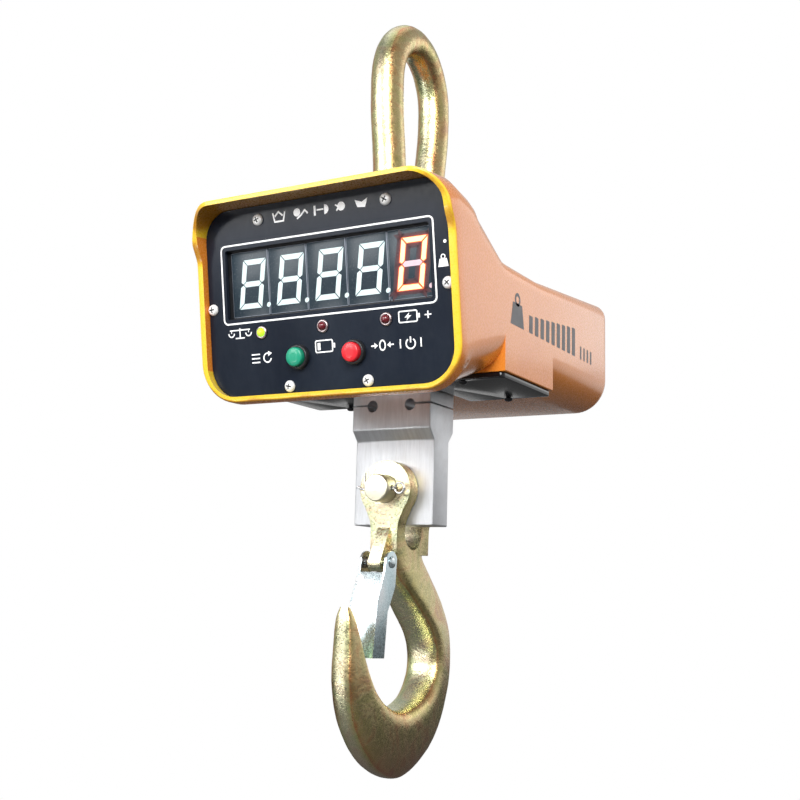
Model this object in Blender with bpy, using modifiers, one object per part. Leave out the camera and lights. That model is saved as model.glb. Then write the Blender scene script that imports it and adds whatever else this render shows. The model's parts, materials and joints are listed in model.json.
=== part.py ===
"""Electronic crane scale: a hanging scale with a shackle on top and a latched hook below.

Units are metres, +Z is up, +X is to the right as seen from the front, and the display
faces -Y. The origin is the bearing point on the inside of the shackle's crown, where a
crane's hook carries the scale. Heights written as "above the hook pin" are measured from
the axis of the lower clevis pin and are turned into world heights by the function lift().
"""
import bmesh
import bpy
from math import atan2, cos, pi, radians, sin, tan
from mathutils import Matrix, Vector

# ---- driving dimensions ------------------------------------------------------------
GAP = 0.0003                    # clearance between pieces that touch
CROWN_TO_HOOK_PIN = 0.295       # crown bearing point down to the hook pin's axis
PIN_SPAN = 0.150                # hook pin's axis up to the shackle pin's axis
PIN_RADIUS = 0.0086
PIN_CLEARANCE = 0.0005

HALF_WIDTH = 0.08925            # housing, and the bezel that is cast with it
FLOOR = 0.066                   # underside of the housing's tail, above the hook pin
FLOOR_THICKNESS = 0.0032
WALL = 0.0032
REAR = 0.148
BEZEL_LOW = 0.0474
BEZEL_HIGH = 0.1674
CORNER_RADIUS = 0.0210          # of the bezel's upper corners
RIM_DEPTH = 0.0045              # the rim stands this far in front of the panel
VISOR_DEPTH = 0.0195            # and this far along the top, as a sun visor
VISOR_START = 0.132             # height where the rim starts to grow into the visor
VISOR_SHARE = 0.30              # of the visor's depth, reached at the corner's lower end
COMPARTMENT_FRONT = -0.039
COMPARTMENT_REAR = 0.0355

PANEL_TILT = radians(9.23)      # the panel leans down towards a person below
PANEL_Y = -0.09758
PANEL_HEIGHT = 0.10468          # the panel frame's origin, above the hook pin
PANEL_THICKNESS = 0.0025
PANEL_HALF_WIDTH = 0.0844
PANEL_LOW = -0.0543
PANEL_HIGH = 0.0603
WINDOW_HALF_WIDTH = 0.0706
WINDOW_LOW = -0.0066
WINDOW_HIGH = 0.0358
DIGIT_PITCH = 0.0277
DIGIT_HEIGHT = 0.0400
DIGIT_RECESS = 0.0040
DIGIT_DEPTH = 0.0090
PANEL_SCREWS = ((-0.0443, 0.0521), (0.0443, 0.0521), (-0.0810, 0.0010),
                (0.0810, 0.0010), (-0.0270, -0.0493), (0.0270, -0.0493))
LAMPS = {"steady": (-0.0456, -0.0158), "low_battery": (-0.0019, -0.0158),
         "charge": (0.0407, -0.0156)}
BUTTONS = {"recall": -0.0195, "tare": 0.0190}
BUTTON_ROW = -0.0325

CELL_HALF_WIDTH = 0.0284
CELL_THICK = 0.0162             # half depth of the load cell's middle
CELL_THIN = 0.0101              # half depth of its two ends
CELL_END = 0.0221               # each end reaches this far past its pin
GAUGE_HOLE_X = 0.0137
GAUGE_HOLE_RISE = 0.0537
GAUGE_HOLE_RADIUS = 0.0038

SHACKLE_BAR = 0.01075           # radius of the bow's round bar
SHACKLE_EYE = 0.0190
SHACKLE_INNER = 0.0106          # the eyes' inner and outer faces
SHACKLE_OUTER = 0.0280
CLEVIS_EYE = 0.0180
CLEVIS_INNER = 0.0110           # half gap between the hook's two ears
CLEVIS_OUTER = 0.0210
LATCH_PIVOT = (-0.0265, -0.0455)    # y, and height above the hook pin
LATCH_HALF_WIDTH = 0.0095
LATCH_SHEET = 0.0014

# Forged hook: inner point (y, h), outer point (y, h), inner and outer half width.
HOOK_STATIONS = (
    ((-0.0190, -0.0330), (0.0185, -0.0330), 0.0098, 0.0092),
    ((-0.0195, -0.0440), (0.0210, -0.0420), 0.0105, 0.0088),
    ((-0.0120, -0.0580), (0.0330, -0.0525), 0.0125, 0.0082),
    ((0.0070, -0.0740), (0.0520, -0.0720), 0.0148, 0.0078),
    ((0.0275, -0.0930), (0.0625, -0.0930), 0.0154, 0.0076),
    ((0.0315, -0.1110), (0.0605, -0.1260), 0.0154, 0.0076),
    ((0.0200, -0.1270), (0.0400, -0.1590), 0.0153, 0.0080),
    ((-0.0030, -0.1345), (0.0020, -0.1762), 0.0152, 0.0084),
    ((-0.0210, -0.1320), (-0.0330, -0.1668), 0.0146, 0.0084),
    ((-0.0370, -0.1225), (-0.0570, -0.1440), 0.0132, 0.0082),
    ((-0.0478, -0.1080), (-0.0665, -0.1190), 0.0116, 0.0078),
    ((-0.0545, -0.0930), (-0.0668, -0.0960), 0.0092, 0.0068),
    ((-0.0590, -0.0800), (-0.0668, -0.0800), 0.0064, 0.0052),
    ((-0.0620, -0.0728), (-0.0655, -0.0725), 0.0030, 0.0028),
)


def lift(height):
    """World height of a point given by its height above the hook pin."""
    return height - CROWN_TO_HOOK_PIN


# ---- scene, collections and materials ----------------------------------------------
for leftover in list(bpy.data.objects):
    bpy.data.objects.remove(leftover, do_unlink=True)

scale_parts = bpy.data.collections.new("crane_scale")
cutters = bpy.data.collections.new("cutters")
bpy.context.scene.collection.children.link(scale_parts)
bpy.context.scene.collection.children.link(cutters)


def material(name, colour, roughness, metallic=0.0):
    made = bpy.data.materials.new(name)
    made.use_nodes = True
    shader = made.node_tree.nodes["Principled BSDF"]
    shader.inputs["Base Color"].default_value = (*colour, 1.0)
    shader.inputs["Roughness"].default_value = roughness
    shader.inputs["Metallic"].default_value = metallic
    return made


ORANGE = material("orange_paint", (0.85, 0.30, 0.05), 0.35)
BLACK = material("black_plastic", (0.02, 0.02, 0.025), 0.45)
PANEL = material("panel_black", (0.02, 0.03, 0.05), 0.25)
GREEN = material("green_cap", (0.02, 0.35, 0.22), 0.35)
RED = material("red_cap", (0.65, 0.03, 0.04), 0.35)
GREEN_LENS = material("green_lens", (0.45, 0.80, 0.10), 0.15)
RED_LENS = material("red_lens", (0.30, 0.02, 0.03), 0.15)
BOARD = material("circuit_board", (0.02, 0.18, 0.07), 0.5)
ALUMINIUM = material("aluminium", (0.72, 0.73, 0.74), 0.35, 1.0)
YELLOW_ZINC = material("yellow_zinc", (0.62, 0.52, 0.25), 0.3, 1.0)
STEEL = material("bright_steel", (0.70, 0.71, 0.73), 0.25, 1.0)
RUBBER = material("rubber", (0.03, 0.03, 0.03), 0.8)
BATTERY = material("battery_case", (0.10, 0.11, 0.13), 0.5)


# ---- modelling helpers -------------------------------------------------------------
SIDEWAYS = Matrix(((0, 0, 1, 0), (1, 0, 0, 0), (0, 1, 0, 0), (0, 0, 0, 1)))   # plate in the YZ plane
FACING = Matrix(((1, 0, 0, 0), (0, 0, -1, 0), (0, 1, 0, 0), (0, 0, 0, 1)))    # plate in the XZ plane


def add_object(name, data, finish, matrix=None, parent=None):
    """Put a mesh or curve in the parts collection, or with the cutters if finish is None."""
    made = bpy.data.objects.new(name, data)
    if finish is None:
        cutters.objects.link(made)
        made.hide_render = True
        made.display_type = "WIRE"
    else:
        scale_parts.objects.link(made)
        data.materials.append(finish)
    made.parent = parent
    if matrix is not None:
        made.matrix_local = matrix
    return made


def mesh_object(name, bm, finish, matrix=None, parent=None):
    bmesh.ops.recalc_face_normals(bm, faces=bm.faces)
    data = bpy.data.meshes.new(name)
    bm.to_mesh(data)
    bm.free()
    return add_object(name, data, finish, matrix, parent)


def smooth(piece, angle=35):
    """Shade a round piece smooth, with its sharp edges kept."""
    piece.data.shade_smooth()
    piece.data.set_sharp_from_angle(angle=radians(angle))
    return piece


def bevel(piece, width, segments=2):
    edge = piece.modifiers.new("edges", "BEVEL")
    edge.width = width
    edge.segments = segments
    edge.limit_method = "ANGLE"
    edge.angle_limit = radians(40)
    return piece


def box(name, low, high, finish, parent=None):
    """A block between two corners, given in its parent's frame."""
    bm = bmesh.new()
    bmesh.ops.create_cube(bm, size=1.0)
    size = Vector(high) - Vector(low)
    middle = (Vector(high) + Vector(low)) / 2
    bmesh.ops.scale(bm, vec=size, verts=bm.verts)
    return mesh_object(name, bm, finish, Matrix.Translation(middle), parent)


def aim(start, direction):
    """A frame at start whose Z axis points along direction."""
    turn = Vector(direction).to_track_quat("Z", "Y").to_matrix().to_4x4()
    return Matrix.Translation(start) @ turn


def cylinder(name, radius, start, end, finish, segments=32, parent=None):
    span = Vector(end) - Vector(start)
    bm = bmesh.new()
    bmesh.ops.create_cone(bm, cap_ends=True, segments=segments, radius1=radius,
                          radius2=radius, depth=span.length)
    made = mesh_object(name, bm, finish, aim((Vector(start) + Vector(end)) / 2, span), parent)
    return smooth(made)


def turned(name, profile, start, direction, finish, steps=24, parent=None):
    """A turned piece: profile is (radius, height) from the top of its outer side down."""
    data = bpy.data.meshes.new(name)
    points = [(radius, 0.0, height) for radius, height in profile]
    data.from_pydata(points, [(i, i + 1) for i in range(len(points) - 1)], [])
    made = add_object(name, data, finish, aim(start, direction), parent)
    screw = made.modifiers.new("turn", "SCREW")
    screw.steps = steps
    screw.render_steps = steps
    screw.use_merge_vertices = True
    screw.merge_threshold = 0.00001
    return made


def frozen(piece):
    """Replace a piece by the plain mesh that its curve or its modifiers make."""
    bpy.context.view_layer.update()
    evaluated = piece.evaluated_get(bpy.context.evaluated_depsgraph_get())
    data = bpy.data.meshes.new_from_object(evaluated)
    bm = bmesh.new()
    bm.from_mesh(data)
    bmesh.ops.remove_doubles(bm, verts=bm.verts, dist=0.000005)
    bmesh.ops.recalc_face_normals(bm, faces=bm.faces)
    bm.to_mesh(data)
    bm.free()
    name = piece.name
    matrix = piece.matrix_world.copy()
    home = piece.users_collection[0]
    parent = piece.parent
    bpy.data.objects.remove(piece, do_unlink=True)
    made = bpy.data.objects.new(name, data)
    home.objects.link(made)
    made.parent = parent
    made.matrix_world = matrix
    if home is cutters:
        made.hide_render = True
        made.display_type = "WIRE"
    return made


def tube(name, points, radius, finish, thickness=None, resolution=2, parent=None):
    """A round bar along a list of points; thickness scales its radius at each point."""
    data = bpy.data.curves.new(name, "CURVE")
    data.dimensions = "3D"
    data.bevel_depth = radius
    data.bevel_resolution = resolution
    data.use_fill_caps = True
    spline = data.splines.new("POLY")
    spline.points.add(len(points) - 1)
    for index, point in enumerate(points):
        spline.points[index].co = (*point, 1.0)
        spline.points[index].radius = 1.0 if thickness is None else thickness[index]
    return frozen(add_object(name, data, finish, None, parent))


def plate(name, outlines, thickness, finish, matrix=None, parent=None):
    """A flat piece: closed 2-D outlines (the first is the edge, the rest are holes)."""
    data = bpy.data.curves.new(name, "CURVE")
    data.dimensions = "2D"
    data.fill_mode = "BOTH"
    data.extrude = thickness / 2
    for outline in outlines:
        spline = data.splines.new("POLY")
        spline.points.add(len(outline) - 1)
        spline.use_cyclic_u = True
        for index, (across, along) in enumerate(outline):
            spline.points[index].co = (across, along, 0.0, 1.0)
    return frozen(add_object(name, data, finish, matrix, parent))


def boolean(target, tool, operation="DIFFERENCE"):
    change = target.modifiers.new(tool.name, "BOOLEAN")
    change.operation = operation
    change.solver = "EXACT"
    change.object = tool


def drill(target, radius, start, end, parent=None, segments=12):
    """Cut a round hole between two points."""
    tool = cylinder(target.name + "_drill", radius, start, end, None, segments, parent)
    boolean(target, tool)


def mill(target, low, high, parent=None):
    """Cut a rectangular pocket between two corners."""
    boolean(target, box(target.name + "_mill", low, high, None, parent))


def arc(centre, radius, first, last, steps):
    """Points of an arc in the plane, angles in degrees."""
    turn = [radians(first + (last - first) * i / steps) for i in range(steps + 1)]
    return [(centre[0] + radius * cos(a), centre[1] + radius * sin(a)) for a in turn]


def rounded(left, right, low, high, low_radius, high_radius, steps=6):
    """A rectangle with rounded corners, anticlockwise from its lower right corner."""
    return (arc((right - low_radius, low + low_radius), low_radius, -90, 0, steps)
            + arc((right - high_radius, high - high_radius), high_radius, 0, 90, steps)
            + arc((left + high_radius, high - high_radius), high_radius, 90, 180, steps)
            + arc((left + low_radius, low + low_radius), low_radius, 180, 270, steps))


def loft(name, rings, finish):
    """A closed skin over rings that all have the same number of points."""
    bm = bmesh.new()
    rows = [[bm.verts.new(point) for point in ring] for ring in rings]
    count = len(rows[0])
    for near, far in zip(rows, rows[1:]):
        for i in range(count):
            j = (i + 1) % count
            bm.faces.new((near[i], near[j], far[j], far[i]))
    bm.faces.new(rows[0])
    bm.faces.new(rows[-1])
    return mesh_object(name, bm, finish)


# ---- frames ------------------------------------------------------------------------
panel_frame = bpy.data.objects.new("panel_frame", None)
panel_frame.location = (0.0, PANEL_Y, lift(PANEL_HEIGHT))
panel_frame.rotation_euler = (pi / 2 + PANEL_TILT, 0.0, 0.0)
scale_parts.objects.link(panel_frame)

hook_axis = bpy.data.objects.new("hook_axis", None)
hook_axis.location = (0.0, 0.0, lift(0.0))
scale_parts.objects.link(hook_axis)

shackle_axis = bpy.data.objects.new("shackle_axis", None)
shackle_axis.location = (0.0, 0.0, lift(PIN_SPAN))
scale_parts.objects.link(shackle_axis)

latch_axis = bpy.data.objects.new("latch_axis", None)
latch_axis.parent = hook_axis
latch_axis.location = (0.0, *LATCH_PIVOT)
scale_parts.objects.link(latch_axis)


# ---- housing -----------------------------------------------------------------------
def ease(value):
    """A smooth step from 0 to 1."""
    value = min(max(value, 0.0), 1.0)
    return value * value * (3 - 2 * value)


def forward_of_panel(x, height, depth_at_sides, depth_at_top):
    """Distance in front of the panel plane: small along the sides, deep at the visor."""
    corner = BEZEL_HIGH - CORNER_RADIUS
    beyond = max(abs(x) - (HALF_WIDTH - CORNER_RADIUS), 0.0)
    above = max(height - corner, 0.0)
    share = VISOR_SHARE * ease((height - VISOR_START) / (corner - VISOR_START))
    if above > 0.0:
        share += (1 - VISOR_SHARE) * ease(atan2(above, beyond) / (pi / 2))
    return depth_at_sides + (depth_at_top - depth_at_sides) * share


def ring(half, low, high, low_radius, high_radius, depth):
    """A section of the housing. depth(x, height) gives the y of a point."""
    corner = 5
    shape = rounded(-half, half, low, high, low_radius, high_radius, corner)
    flat_low = low + low_radius
    flat = high - high_radius - flat_low
    extra = [flat_low + flat * part for part in (0.78, 0.86, 0.94)]
    right = [(half, height) for height in extra]
    left = [(-half, height) for height in reversed(extra)]
    cut = corner + 1
    shape = shape[:cut] + right + shape[cut:3 * cut] + left + shape[3 * cut:]
    return [Vector((x, depth(x, height), lift(height))) for x, height in shape]


def on_panel(behind=0.0, sides=0.0, top=0.0):
    """The depth function of a ring that follows the leaning panel plane."""
    def depth(x, height):
        plane = PANEL_Y - (height - PANEL_HEIGHT) * tan(PANEL_TILT)
        return plane + behind - forward_of_panel(x, height, sides, top)
    return depth


def level(y):
    """The depth function of an upright ring."""
    return lambda x, height: y


def rear_turn(side, low, high, low_radius, high_radius, rear):
    """Rings that round the tail off into its rear face."""
    reach = 0.0135
    rings = []
    for angle in (0, 30, 55, 75, 90):
        inward = 1 - cos(radians(angle))
        y = rear - reach + reach * sin(radians(angle))
        rings.append(ring(side - 0.0125 * inward, low + 0.0120 * inward, high - 0.0070 * inward,
                          low_radius, high_radius, level(y)))
    return rings


def housing_outside():
    half = HALF_WIDTH
    rim = dict(sides=RIM_DEPTH, top=VISOR_DEPTH)
    top = BEZEL_HIGH - 0.0026
    rings = [
        ring(half - 0.0070, BEZEL_LOW + 0.0070, top - 0.0070, 0.0185, 0.0160,
             on_panel(0.0, **rim)),
        ring(half - 0.0012, BEZEL_LOW + 0.0012, top - 0.0010, 0.0238, 0.0200,
             on_panel(0.0, **rim)),
        ring(half - 0.0004, BEZEL_LOW + 0.0004, top - 0.0003, 0.0246, 0.0207,
             on_panel(0.0005, **rim)),
        ring(half, BEZEL_LOW, top, 0.0250, CORNER_RADIUS, on_panel(0.0015, **rim)),
        ring(half, BEZEL_LOW, BEZEL_HIGH, 0.0250, CORNER_RADIUS, on_panel(0.0040)),
        ring(half, 0.0500, 0.1640, 0.0250, 0.0205, level(-0.0840)),
        ring(half, 0.0515, 0.1618, 0.0250, 0.0198, level(-0.0790)),
        ring(half, 0.0530, 0.1575, 0.0250, 0.0190, level(-0.0750)),
        ring(half, 0.0640, 0.1395, 0.0230, 0.0145, level(-0.0445)),
        ring(half, FLOOR, 0.1362, 0.0225, 0.0128, level(COMPARTMENT_FRONT - 0.0001)),
        ring(half, FLOOR, 0.1362, 0.0008, 0.0128, level(COMPARTMENT_FRONT)),
        ring(half, FLOOR, 0.1350, 0.0008, 0.0118, level(-0.0320)),
        ring(half, FLOOR, 0.1352, 0.0008, 0.0108, level(0.0180)),
        ring(half, FLOOR, 0.1368, 0.0008, 0.0106, level(COMPARTMENT_REAR)),
        ring(half, FLOOR, 0.1368, 0.0225, 0.0106, level(COMPARTMENT_REAR + 0.0001)),
    ]
    tail = rear_turn(half, FLOOR + 0.0010, 0.1460, 0.0225, 0.0105, REAR)
    return rings + tail


def housing_inside():
    half = HALF_WIDTH
    front = half - 0.0045
    low = BEZEL_LOW + 0.0034
    ledge = half - 0.0115
    ledge_low = BEZEL_LOW + 0.0111
    ledge_high = BEZEL_HIGH - 0.0152
    wall = half - WALL
    deep = FLOOR + FLOOR_THICKNESS
    rings = [
        ring(front, low, BEZEL_HIGH - 0.0070, 0.0197, 0.0172, on_panel(-0.0300)),
        ring(front, low, BEZEL_HIGH - 0.0029, 0.0197, 0.0172, on_panel(0.0)),
        ring(front, low, BEZEL_HIGH - 0.0022, 0.0197, 0.0172, on_panel(0.0040)),
        ring(ledge, ledge_low, ledge_high, 0.0140, 0.0120, on_panel(0.0040)),
        ring(ledge, ledge_low, ledge_high, 0.0140, 0.0120, on_panel(0.0100)),
        ring(wall, BEZEL_LOW + 0.0047, BEZEL_HIGH - 0.0056, 0.0218, 0.0176, on_panel(0.0100)),
        ring(wall, 0.0553, 0.1586, 0.0218, 0.0172, level(-0.0790)),
        ring(wall, 0.0570, 0.1537, 0.0218, 0.0158, level(-0.0745)),
        ring(wall, 0.0680, 0.1355, 0.0198, 0.0113, level(-0.0434)),
        ring(wall, deep, 0.1327, 0.0193, 0.0096, level(COMPARTMENT_FRONT + 0.0031)),
        ring(wall, deep, 0.1317, 0.0012, 0.0086, level(COMPARTMENT_FRONT + WALL)),
        ring(wall, deep, 0.1319, 0.0012, 0.0076, level(0.0180)),
        ring(wall, deep, 0.1333, 0.0012, 0.0074, level(COMPARTMENT_REAR - WALL)),
        ring(wall, deep, 0.1335, 0.0193, 0.0074, level(COMPARTMENT_REAR - 0.0031)),
    ]
    tail = rear_turn(wall, deep + 0.0012, 0.1426, 0.0193, 0.0073, REAR - WALL)
    return rings + tail


DOOR_INNER = 0.0315
DOOR_OUTER = 0.0878
DOOR_FRONT = -0.0385
DOOR_BACK = 0.0350
DOOR_LOW = 0.0623
DOOR_SCREWS = (-0.0352, 0.0320)
DOOR_SCREW_X = 0.060
BATTERY_LOW = (0.0390, -0.0310)
BATTERY_HIGH = (0.0810, 0.0280)
BRACKET_SCREW_X = 0.0140
BRACKET_SCREW_Y = 0.0285
SOCKET = (0.055, 0.098)         # charge socket on the rear wall: x, height


def build_housing():
    housing = smooth(loft("housing", housing_outside(), ORANGE), 28)
    boolean(housing, loft("housing_hollow", housing_inside(), None))
    mill(housing, (-0.0335, -0.0215, lift(0.055)), (0.0335, 0.0215, lift(0.075)))
    mill(housing, (-0.0360, -0.0375, lift(0.125)), (0.0360, 0.0345, lift(0.160)))
    for side in (-1, 1):
        edges = sorted((side * 0.0380, side * 0.0820))
        mill(housing, (edges[0], -0.0318, lift(0.058)), (edges[1], 0.0287, lift(0.072)))
        for y in DOOR_SCREWS:
            x = side * DOOR_SCREW_X
            drill(housing, 0.0018, (x, y, lift(0.060)), (x, y, lift(0.074)))
        for y in (-BRACKET_SCREW_Y, BRACKET_SCREW_Y):
            x = side * BRACKET_SCREW_X
            drill(housing, 0.0018, (x, y, lift(0.060)), (x, y, lift(0.074)))
    for u, v in PANEL_SCREWS:
        drill(housing, 0.0018, (u, v, -0.0085), (u, v, 0.0), panel_frame)
    x, height = SOCKET
    drill(housing, 0.0064, (x, REAR - 0.013, lift(height)), (x, REAR + 0.007, lift(height)))


# ---- screws ------------------------------------------------------------------------
def screw_mesh(name, head_radius, head_height, shank_radius, shank_length):
    """A cross-recessed pan head screw; its head stands up from z = 0."""
    profile = [(0.0, head_height), (head_radius * 0.55, head_height * 0.94),
               (head_radius * 0.90, head_height * 0.60), (head_radius, 0.0), (shank_radius, 0.0),
               (shank_radius, -shank_length), (0.0, -shank_length)]
    screw = turned(name, profile, (0, 0, 0), (0, 0, 1), STEEL, 14)
    arm = head_radius * 0.50
    slot = head_radius * 0.11
    depth = head_height * 0.45
    mill(screw, (-arm, -slot, depth), (arm, slot, head_height * 2))
    mill(screw, (-slot, -arm, depth), (slot, arm, head_height * 2))
    screw = frozen(screw)
    data = screw.data
    bpy.data.objects.remove(screw, do_unlink=True)
    return data


def place_screw(name, data, location, direction, spin=0.0, parent=None):
    made = bpy.data.objects.new(name, data)
    scale_parts.objects.link(made)
    made.parent = parent
    turn = Matrix.Rotation(radians(spin), 4, "Z")
    made.matrix_local = aim(location, direction) @ turn
    return smooth(made)


# ---- front panel and what it carries -------------------------------------------------
def build_front_panel():
    wide = PANEL_HALF_WIDTH
    edge = rounded(-wide, wide, PANEL_LOW, PANEL_HIGH, 0.0200, 0.0176, 8)
    wide = WINDOW_HALF_WIDTH
    window = rounded(-wide, wide, WINDOW_LOW, WINDOW_HIGH, 0.001, 0.001, 2)
    holes = [window]
    for u, v in PANEL_SCREWS:
        holes.append(arc((u, v), 0.0020, 0, 324, 9))
    for u, v in LAMPS.values():
        holes.append(arc((u, v), 0.0032, 0, 330, 11))
    for u in BUTTONS.values():
        holes.append(arc((u, BUTTON_ROW), 0.0063, 0, 342, 19))
    middle = Matrix.Translation((0, 0, -PANEL_THICKNESS / 2))
    plate("front_panel", [edge] + holes, PANEL_THICKNESS, PANEL, middle, panel_frame)

    seal_edge = rounded(-0.0838, 0.0838, -0.0526, 0.0576, 0.0194, 0.0170, 6)
    seal_hole = rounded(-0.0775, 0.0775, -0.0452, 0.0463, 0.0135, 0.0115, 6)
    screws = [arc(place, 0.0020, 0, 315, 7) for place in PANEL_SCREWS]
    depth = Matrix.Translation((0, 0, -0.00325))
    plate("panel_gasket", [seal_edge, seal_hole] + screws, 0.0008, RUBBER, depth, panel_frame)

    data = screw_mesh("panel_screw_mesh", 0.0035, 0.0021, 0.0015, 0.0068)
    for index, (u, v) in enumerate(PANEL_SCREWS):
        name = f"panel_screw_{index + 1}"
        place_screw(name, data, (u, v, GAP), (0, 0, 1), 20 + 37 * index, panel_frame)


def build_display():
    low = (WINDOW_LOW + WINDOW_HIGH) / 2 - DIGIT_HEIGHT / 2
    for index in range(5):
        left = (index - 2.5) * DIGIT_PITCH + GAP / 2
        right = left + DIGIT_PITCH - GAP
        module = box(f"digit_{index + 1}", (left, low, -DIGIT_RECESS - DIGIT_DEPTH),
                     (right, low + DIGIT_HEIGHT, -DIGIT_RECESS), BLACK, panel_frame)
        bevel(module, 0.0004, 1)
    back = -DIGIT_RECESS - DIGIT_DEPTH - GAP
    box("display_board", (-0.0740, -0.0085, back - 0.0016), (0.0740, 0.0385, back),
        BOARD, panel_frame)
    box("main_board", (-0.0600, -0.0250, -0.0320), (0.0600, 0.0380, -0.0300),
        BOARD, panel_frame)


def build_lamps():
    radius = 0.0025
    for name, (u, v) in LAMPS.items():
        dome = [(radius * cos(radians(a)), 0.0010 + radius * sin(radians(a))) for a in (60, 30, 0)]
        lens = [(0.0, 0.0010 + radius)] + dome + [(radius, -0.0065), (0.0, -0.0065)]
        finish = GREEN_LENS if name == "steady" else RED_LENS
        smooth(turned(f"{name}_lamp", lens, (u, v, 0.0), (0, 0, 1), finish, 14, panel_frame))
        collar = [(0.00275, 0.0014), (0.0034, 0.0014), (0.0039, 0.0008), (0.0039, GAP),
                  (0.0029, GAP), (0.0029, -0.0040), (0.00275, -0.0040), (0.00275, 0.0014)]
        smooth(turned(f"{name}_lamp_ring", collar, (u, v, 0.0), (0, 0, 1), STEEL, 16, panel_frame))


def build_buttons():
    for name, u in BUTTONS.items():
        finish = GREEN if name == "recall" else RED
        axis = bpy.data.objects.new(f"{name}_button_axis", None)
        axis.parent = panel_frame
        axis.location = (u, BUTTON_ROW, 0.0)
        scale_parts.objects.link(axis)
        cap = [(0.0, 0.0072), (0.0036, 0.0071), (0.0050, 0.0066), (0.0056, 0.0056),
               (0.0056, 0.0012), (0.0026, 0.0012), (0.0026, -0.0050), (0.0, -0.0050)]
        smooth(turned(f"{name}_button", cap, (0, 0, 0), (0, 0, 1), finish, 20, axis))
        body = [(0.0059, 0.0036), (0.0068, 0.0034), (0.0073, 0.0026), (0.0074, GAP),
                (0.0060, GAP), (0.0060, -0.0150), (0.0, -0.0150), (0.0, -0.0070),
                (0.0030, -0.0070), (0.0030, -0.0012), (0.0059, -0.0012), (0.0059, 0.0036)]
        smooth(turned(f"{name}_button_body", body, (0, 0, 0), (0, 0, 1), BLACK, 20, axis))


# ---- load cell and what carries the housing on it ------------------------------------
def build_load_cell():
    top = PIN_SPAN + CELL_END
    waist_low = 0.0317
    waist_high = 0.0385
    front = [(CELL_THIN, -CELL_END), (CELL_THIN, waist_low), (CELL_THICK, waist_high),
             (CELL_THICK, PIN_SPAN - waist_high), (CELL_THIN, PIN_SPAN - waist_low), (CELL_THIN, top)]
    outline = front + [(-across, height) for across, height in reversed(front)]
    upright = Matrix.Translation((0, 0, lift(0.0))) @ SIDEWAYS
    cell = plate("load_cell", [outline], 2 * CELL_HALF_WIDTH, ALUMINIUM, upright)
    bevel(cell, 0.0008, 1)
    bore = PIN_RADIUS + PIN_CLEARANCE
    for height in (0.0, PIN_SPAN):
        drill(cell, bore, (0, -0.02, lift(height)), (0, 0.02, lift(height)), None, 24)
    for height in (GAUGE_HOLE_RISE, PIN_SPAN - GAUGE_HOLE_RISE):
        for side in (-1, 1):
            x = side * GAUGE_HOLE_X
            drill(cell, GAUGE_HOLE_RADIUS, (x, -0.02, lift(height)), (x, 0.02, lift(height)))
            ends = sorted((x, side * 0.031))
            middle = lift(height + (0.0006 if height < PIN_SPAN / 2 else -0.0006))
            mill(cell, (ends[0], -0.02, middle - 0.0006), (ends[1], 0.02, middle + 0.0006))
    for y in (-1, 1):
        for side in (-1, 1):
            x = side * BRACKET_SCREW_X
            drill(cell, 0.0028, (x, y * 0.0060, lift(0.104)), (x, y * 0.0180, lift(0.104)))


def build_brackets():
    bolt = [(0.0, 0.0040), (0.0034, 0.0040), (0.0040, 0.0034), (0.0040, 0.0), (0.0025, 0.0),
            (0.0025, -0.0120), (0.0, -0.0120)]
    screw = screw_mesh("floor_screw_mesh", 0.0029, 0.0019, 0.0015, 0.0085)
    for y, place in ((-1, "front"), (1, "rear")):
        near = CELL_THICK + GAP
        foot = FLOOR + FLOOR_THICKNESS + GAP
        profile = [(near, foot), (0.0360, foot), (0.0360, foot + 0.003),
                   (near + 0.003, foot + 0.003), (near + 0.003, 0.1100), (near, 0.1100)]
        outline = [(y * across, height) for across, height in profile]
        upright = Matrix.Translation((0, 0, lift(0.0))) @ SIDEWAYS
        bracket = plate(f"{place}_bracket", [outline], 0.0440, STEEL, upright)
        for side, hand in ((-1, "left"), (1, "right")):
            x = side * BRACKET_SCREW_X
            drill(bracket, 0.0028, (x, y * 0.0150, lift(0.104)), (x, y * 0.0220, lift(0.104)))
            foot_y = y * BRACKET_SCREW_Y
            drill(bracket, 0.0018, (x, foot_y, lift(0.066)), (x, foot_y, lift(0.078)))
            head = (x, y * (near + 0.003 + GAP), lift(0.104))
            smooth(turned(f"{place}_{hand}_cell_bolt", bolt, head, (0, y, 0), STEEL, 16))
            place_screw(f"{place}_{hand}_floor_screw", screw, (x, foot_y, lift(FLOOR - GAP)),
                        (0, 0, -1), 25 + 40 * side)


def build_seal_and_wiring():
    edge = rounded(-0.0332, 0.0332, -0.0212, 0.0212, 0.0004, 0.0004, 1)
    hole = rounded(-0.0287, 0.0287, -0.0165, 0.0165, 0.0004, 0.0004, 1)
    depth = Matrix.Translation((0, 0, lift(0.0677)))
    plate("cell_seal", [edge, hole], 0.0030, RUBBER, depth)

    route = [(0.0288, 0.004, 0.082), (0.0316, 0.004, 0.082), (0.0336, 0.002, 0.0875),
             (0.0337, -0.003, 0.096), (0.0337, -0.012, 0.104), (0.0335, -0.024, 0.108),
             (0.0325, -0.036, 0.108), (0.0305, -0.046, 0.107), (0.0290, -0.053, 0.1065)]
    tube("cell_cable", [(x, y, lift(height)) for x, y, height in route], 0.0018, BLACK)

    socket = [(0.0036, 0.0022), (0.0074, 0.0022), (0.0080, 0.0016), (0.0080, GAP), (0.0060, GAP),
              (0.0060, -0.0140), (0.0, -0.0140), (0.0, -0.0080), (0.0036, -0.0080), (0.0036, 0.0022)]
    place = (SOCKET[0], REAR, lift(SOCKET[1]))
    smooth(turned("charge_socket", socket, place, (0, 1, 0), BLACK, 18))


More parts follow.
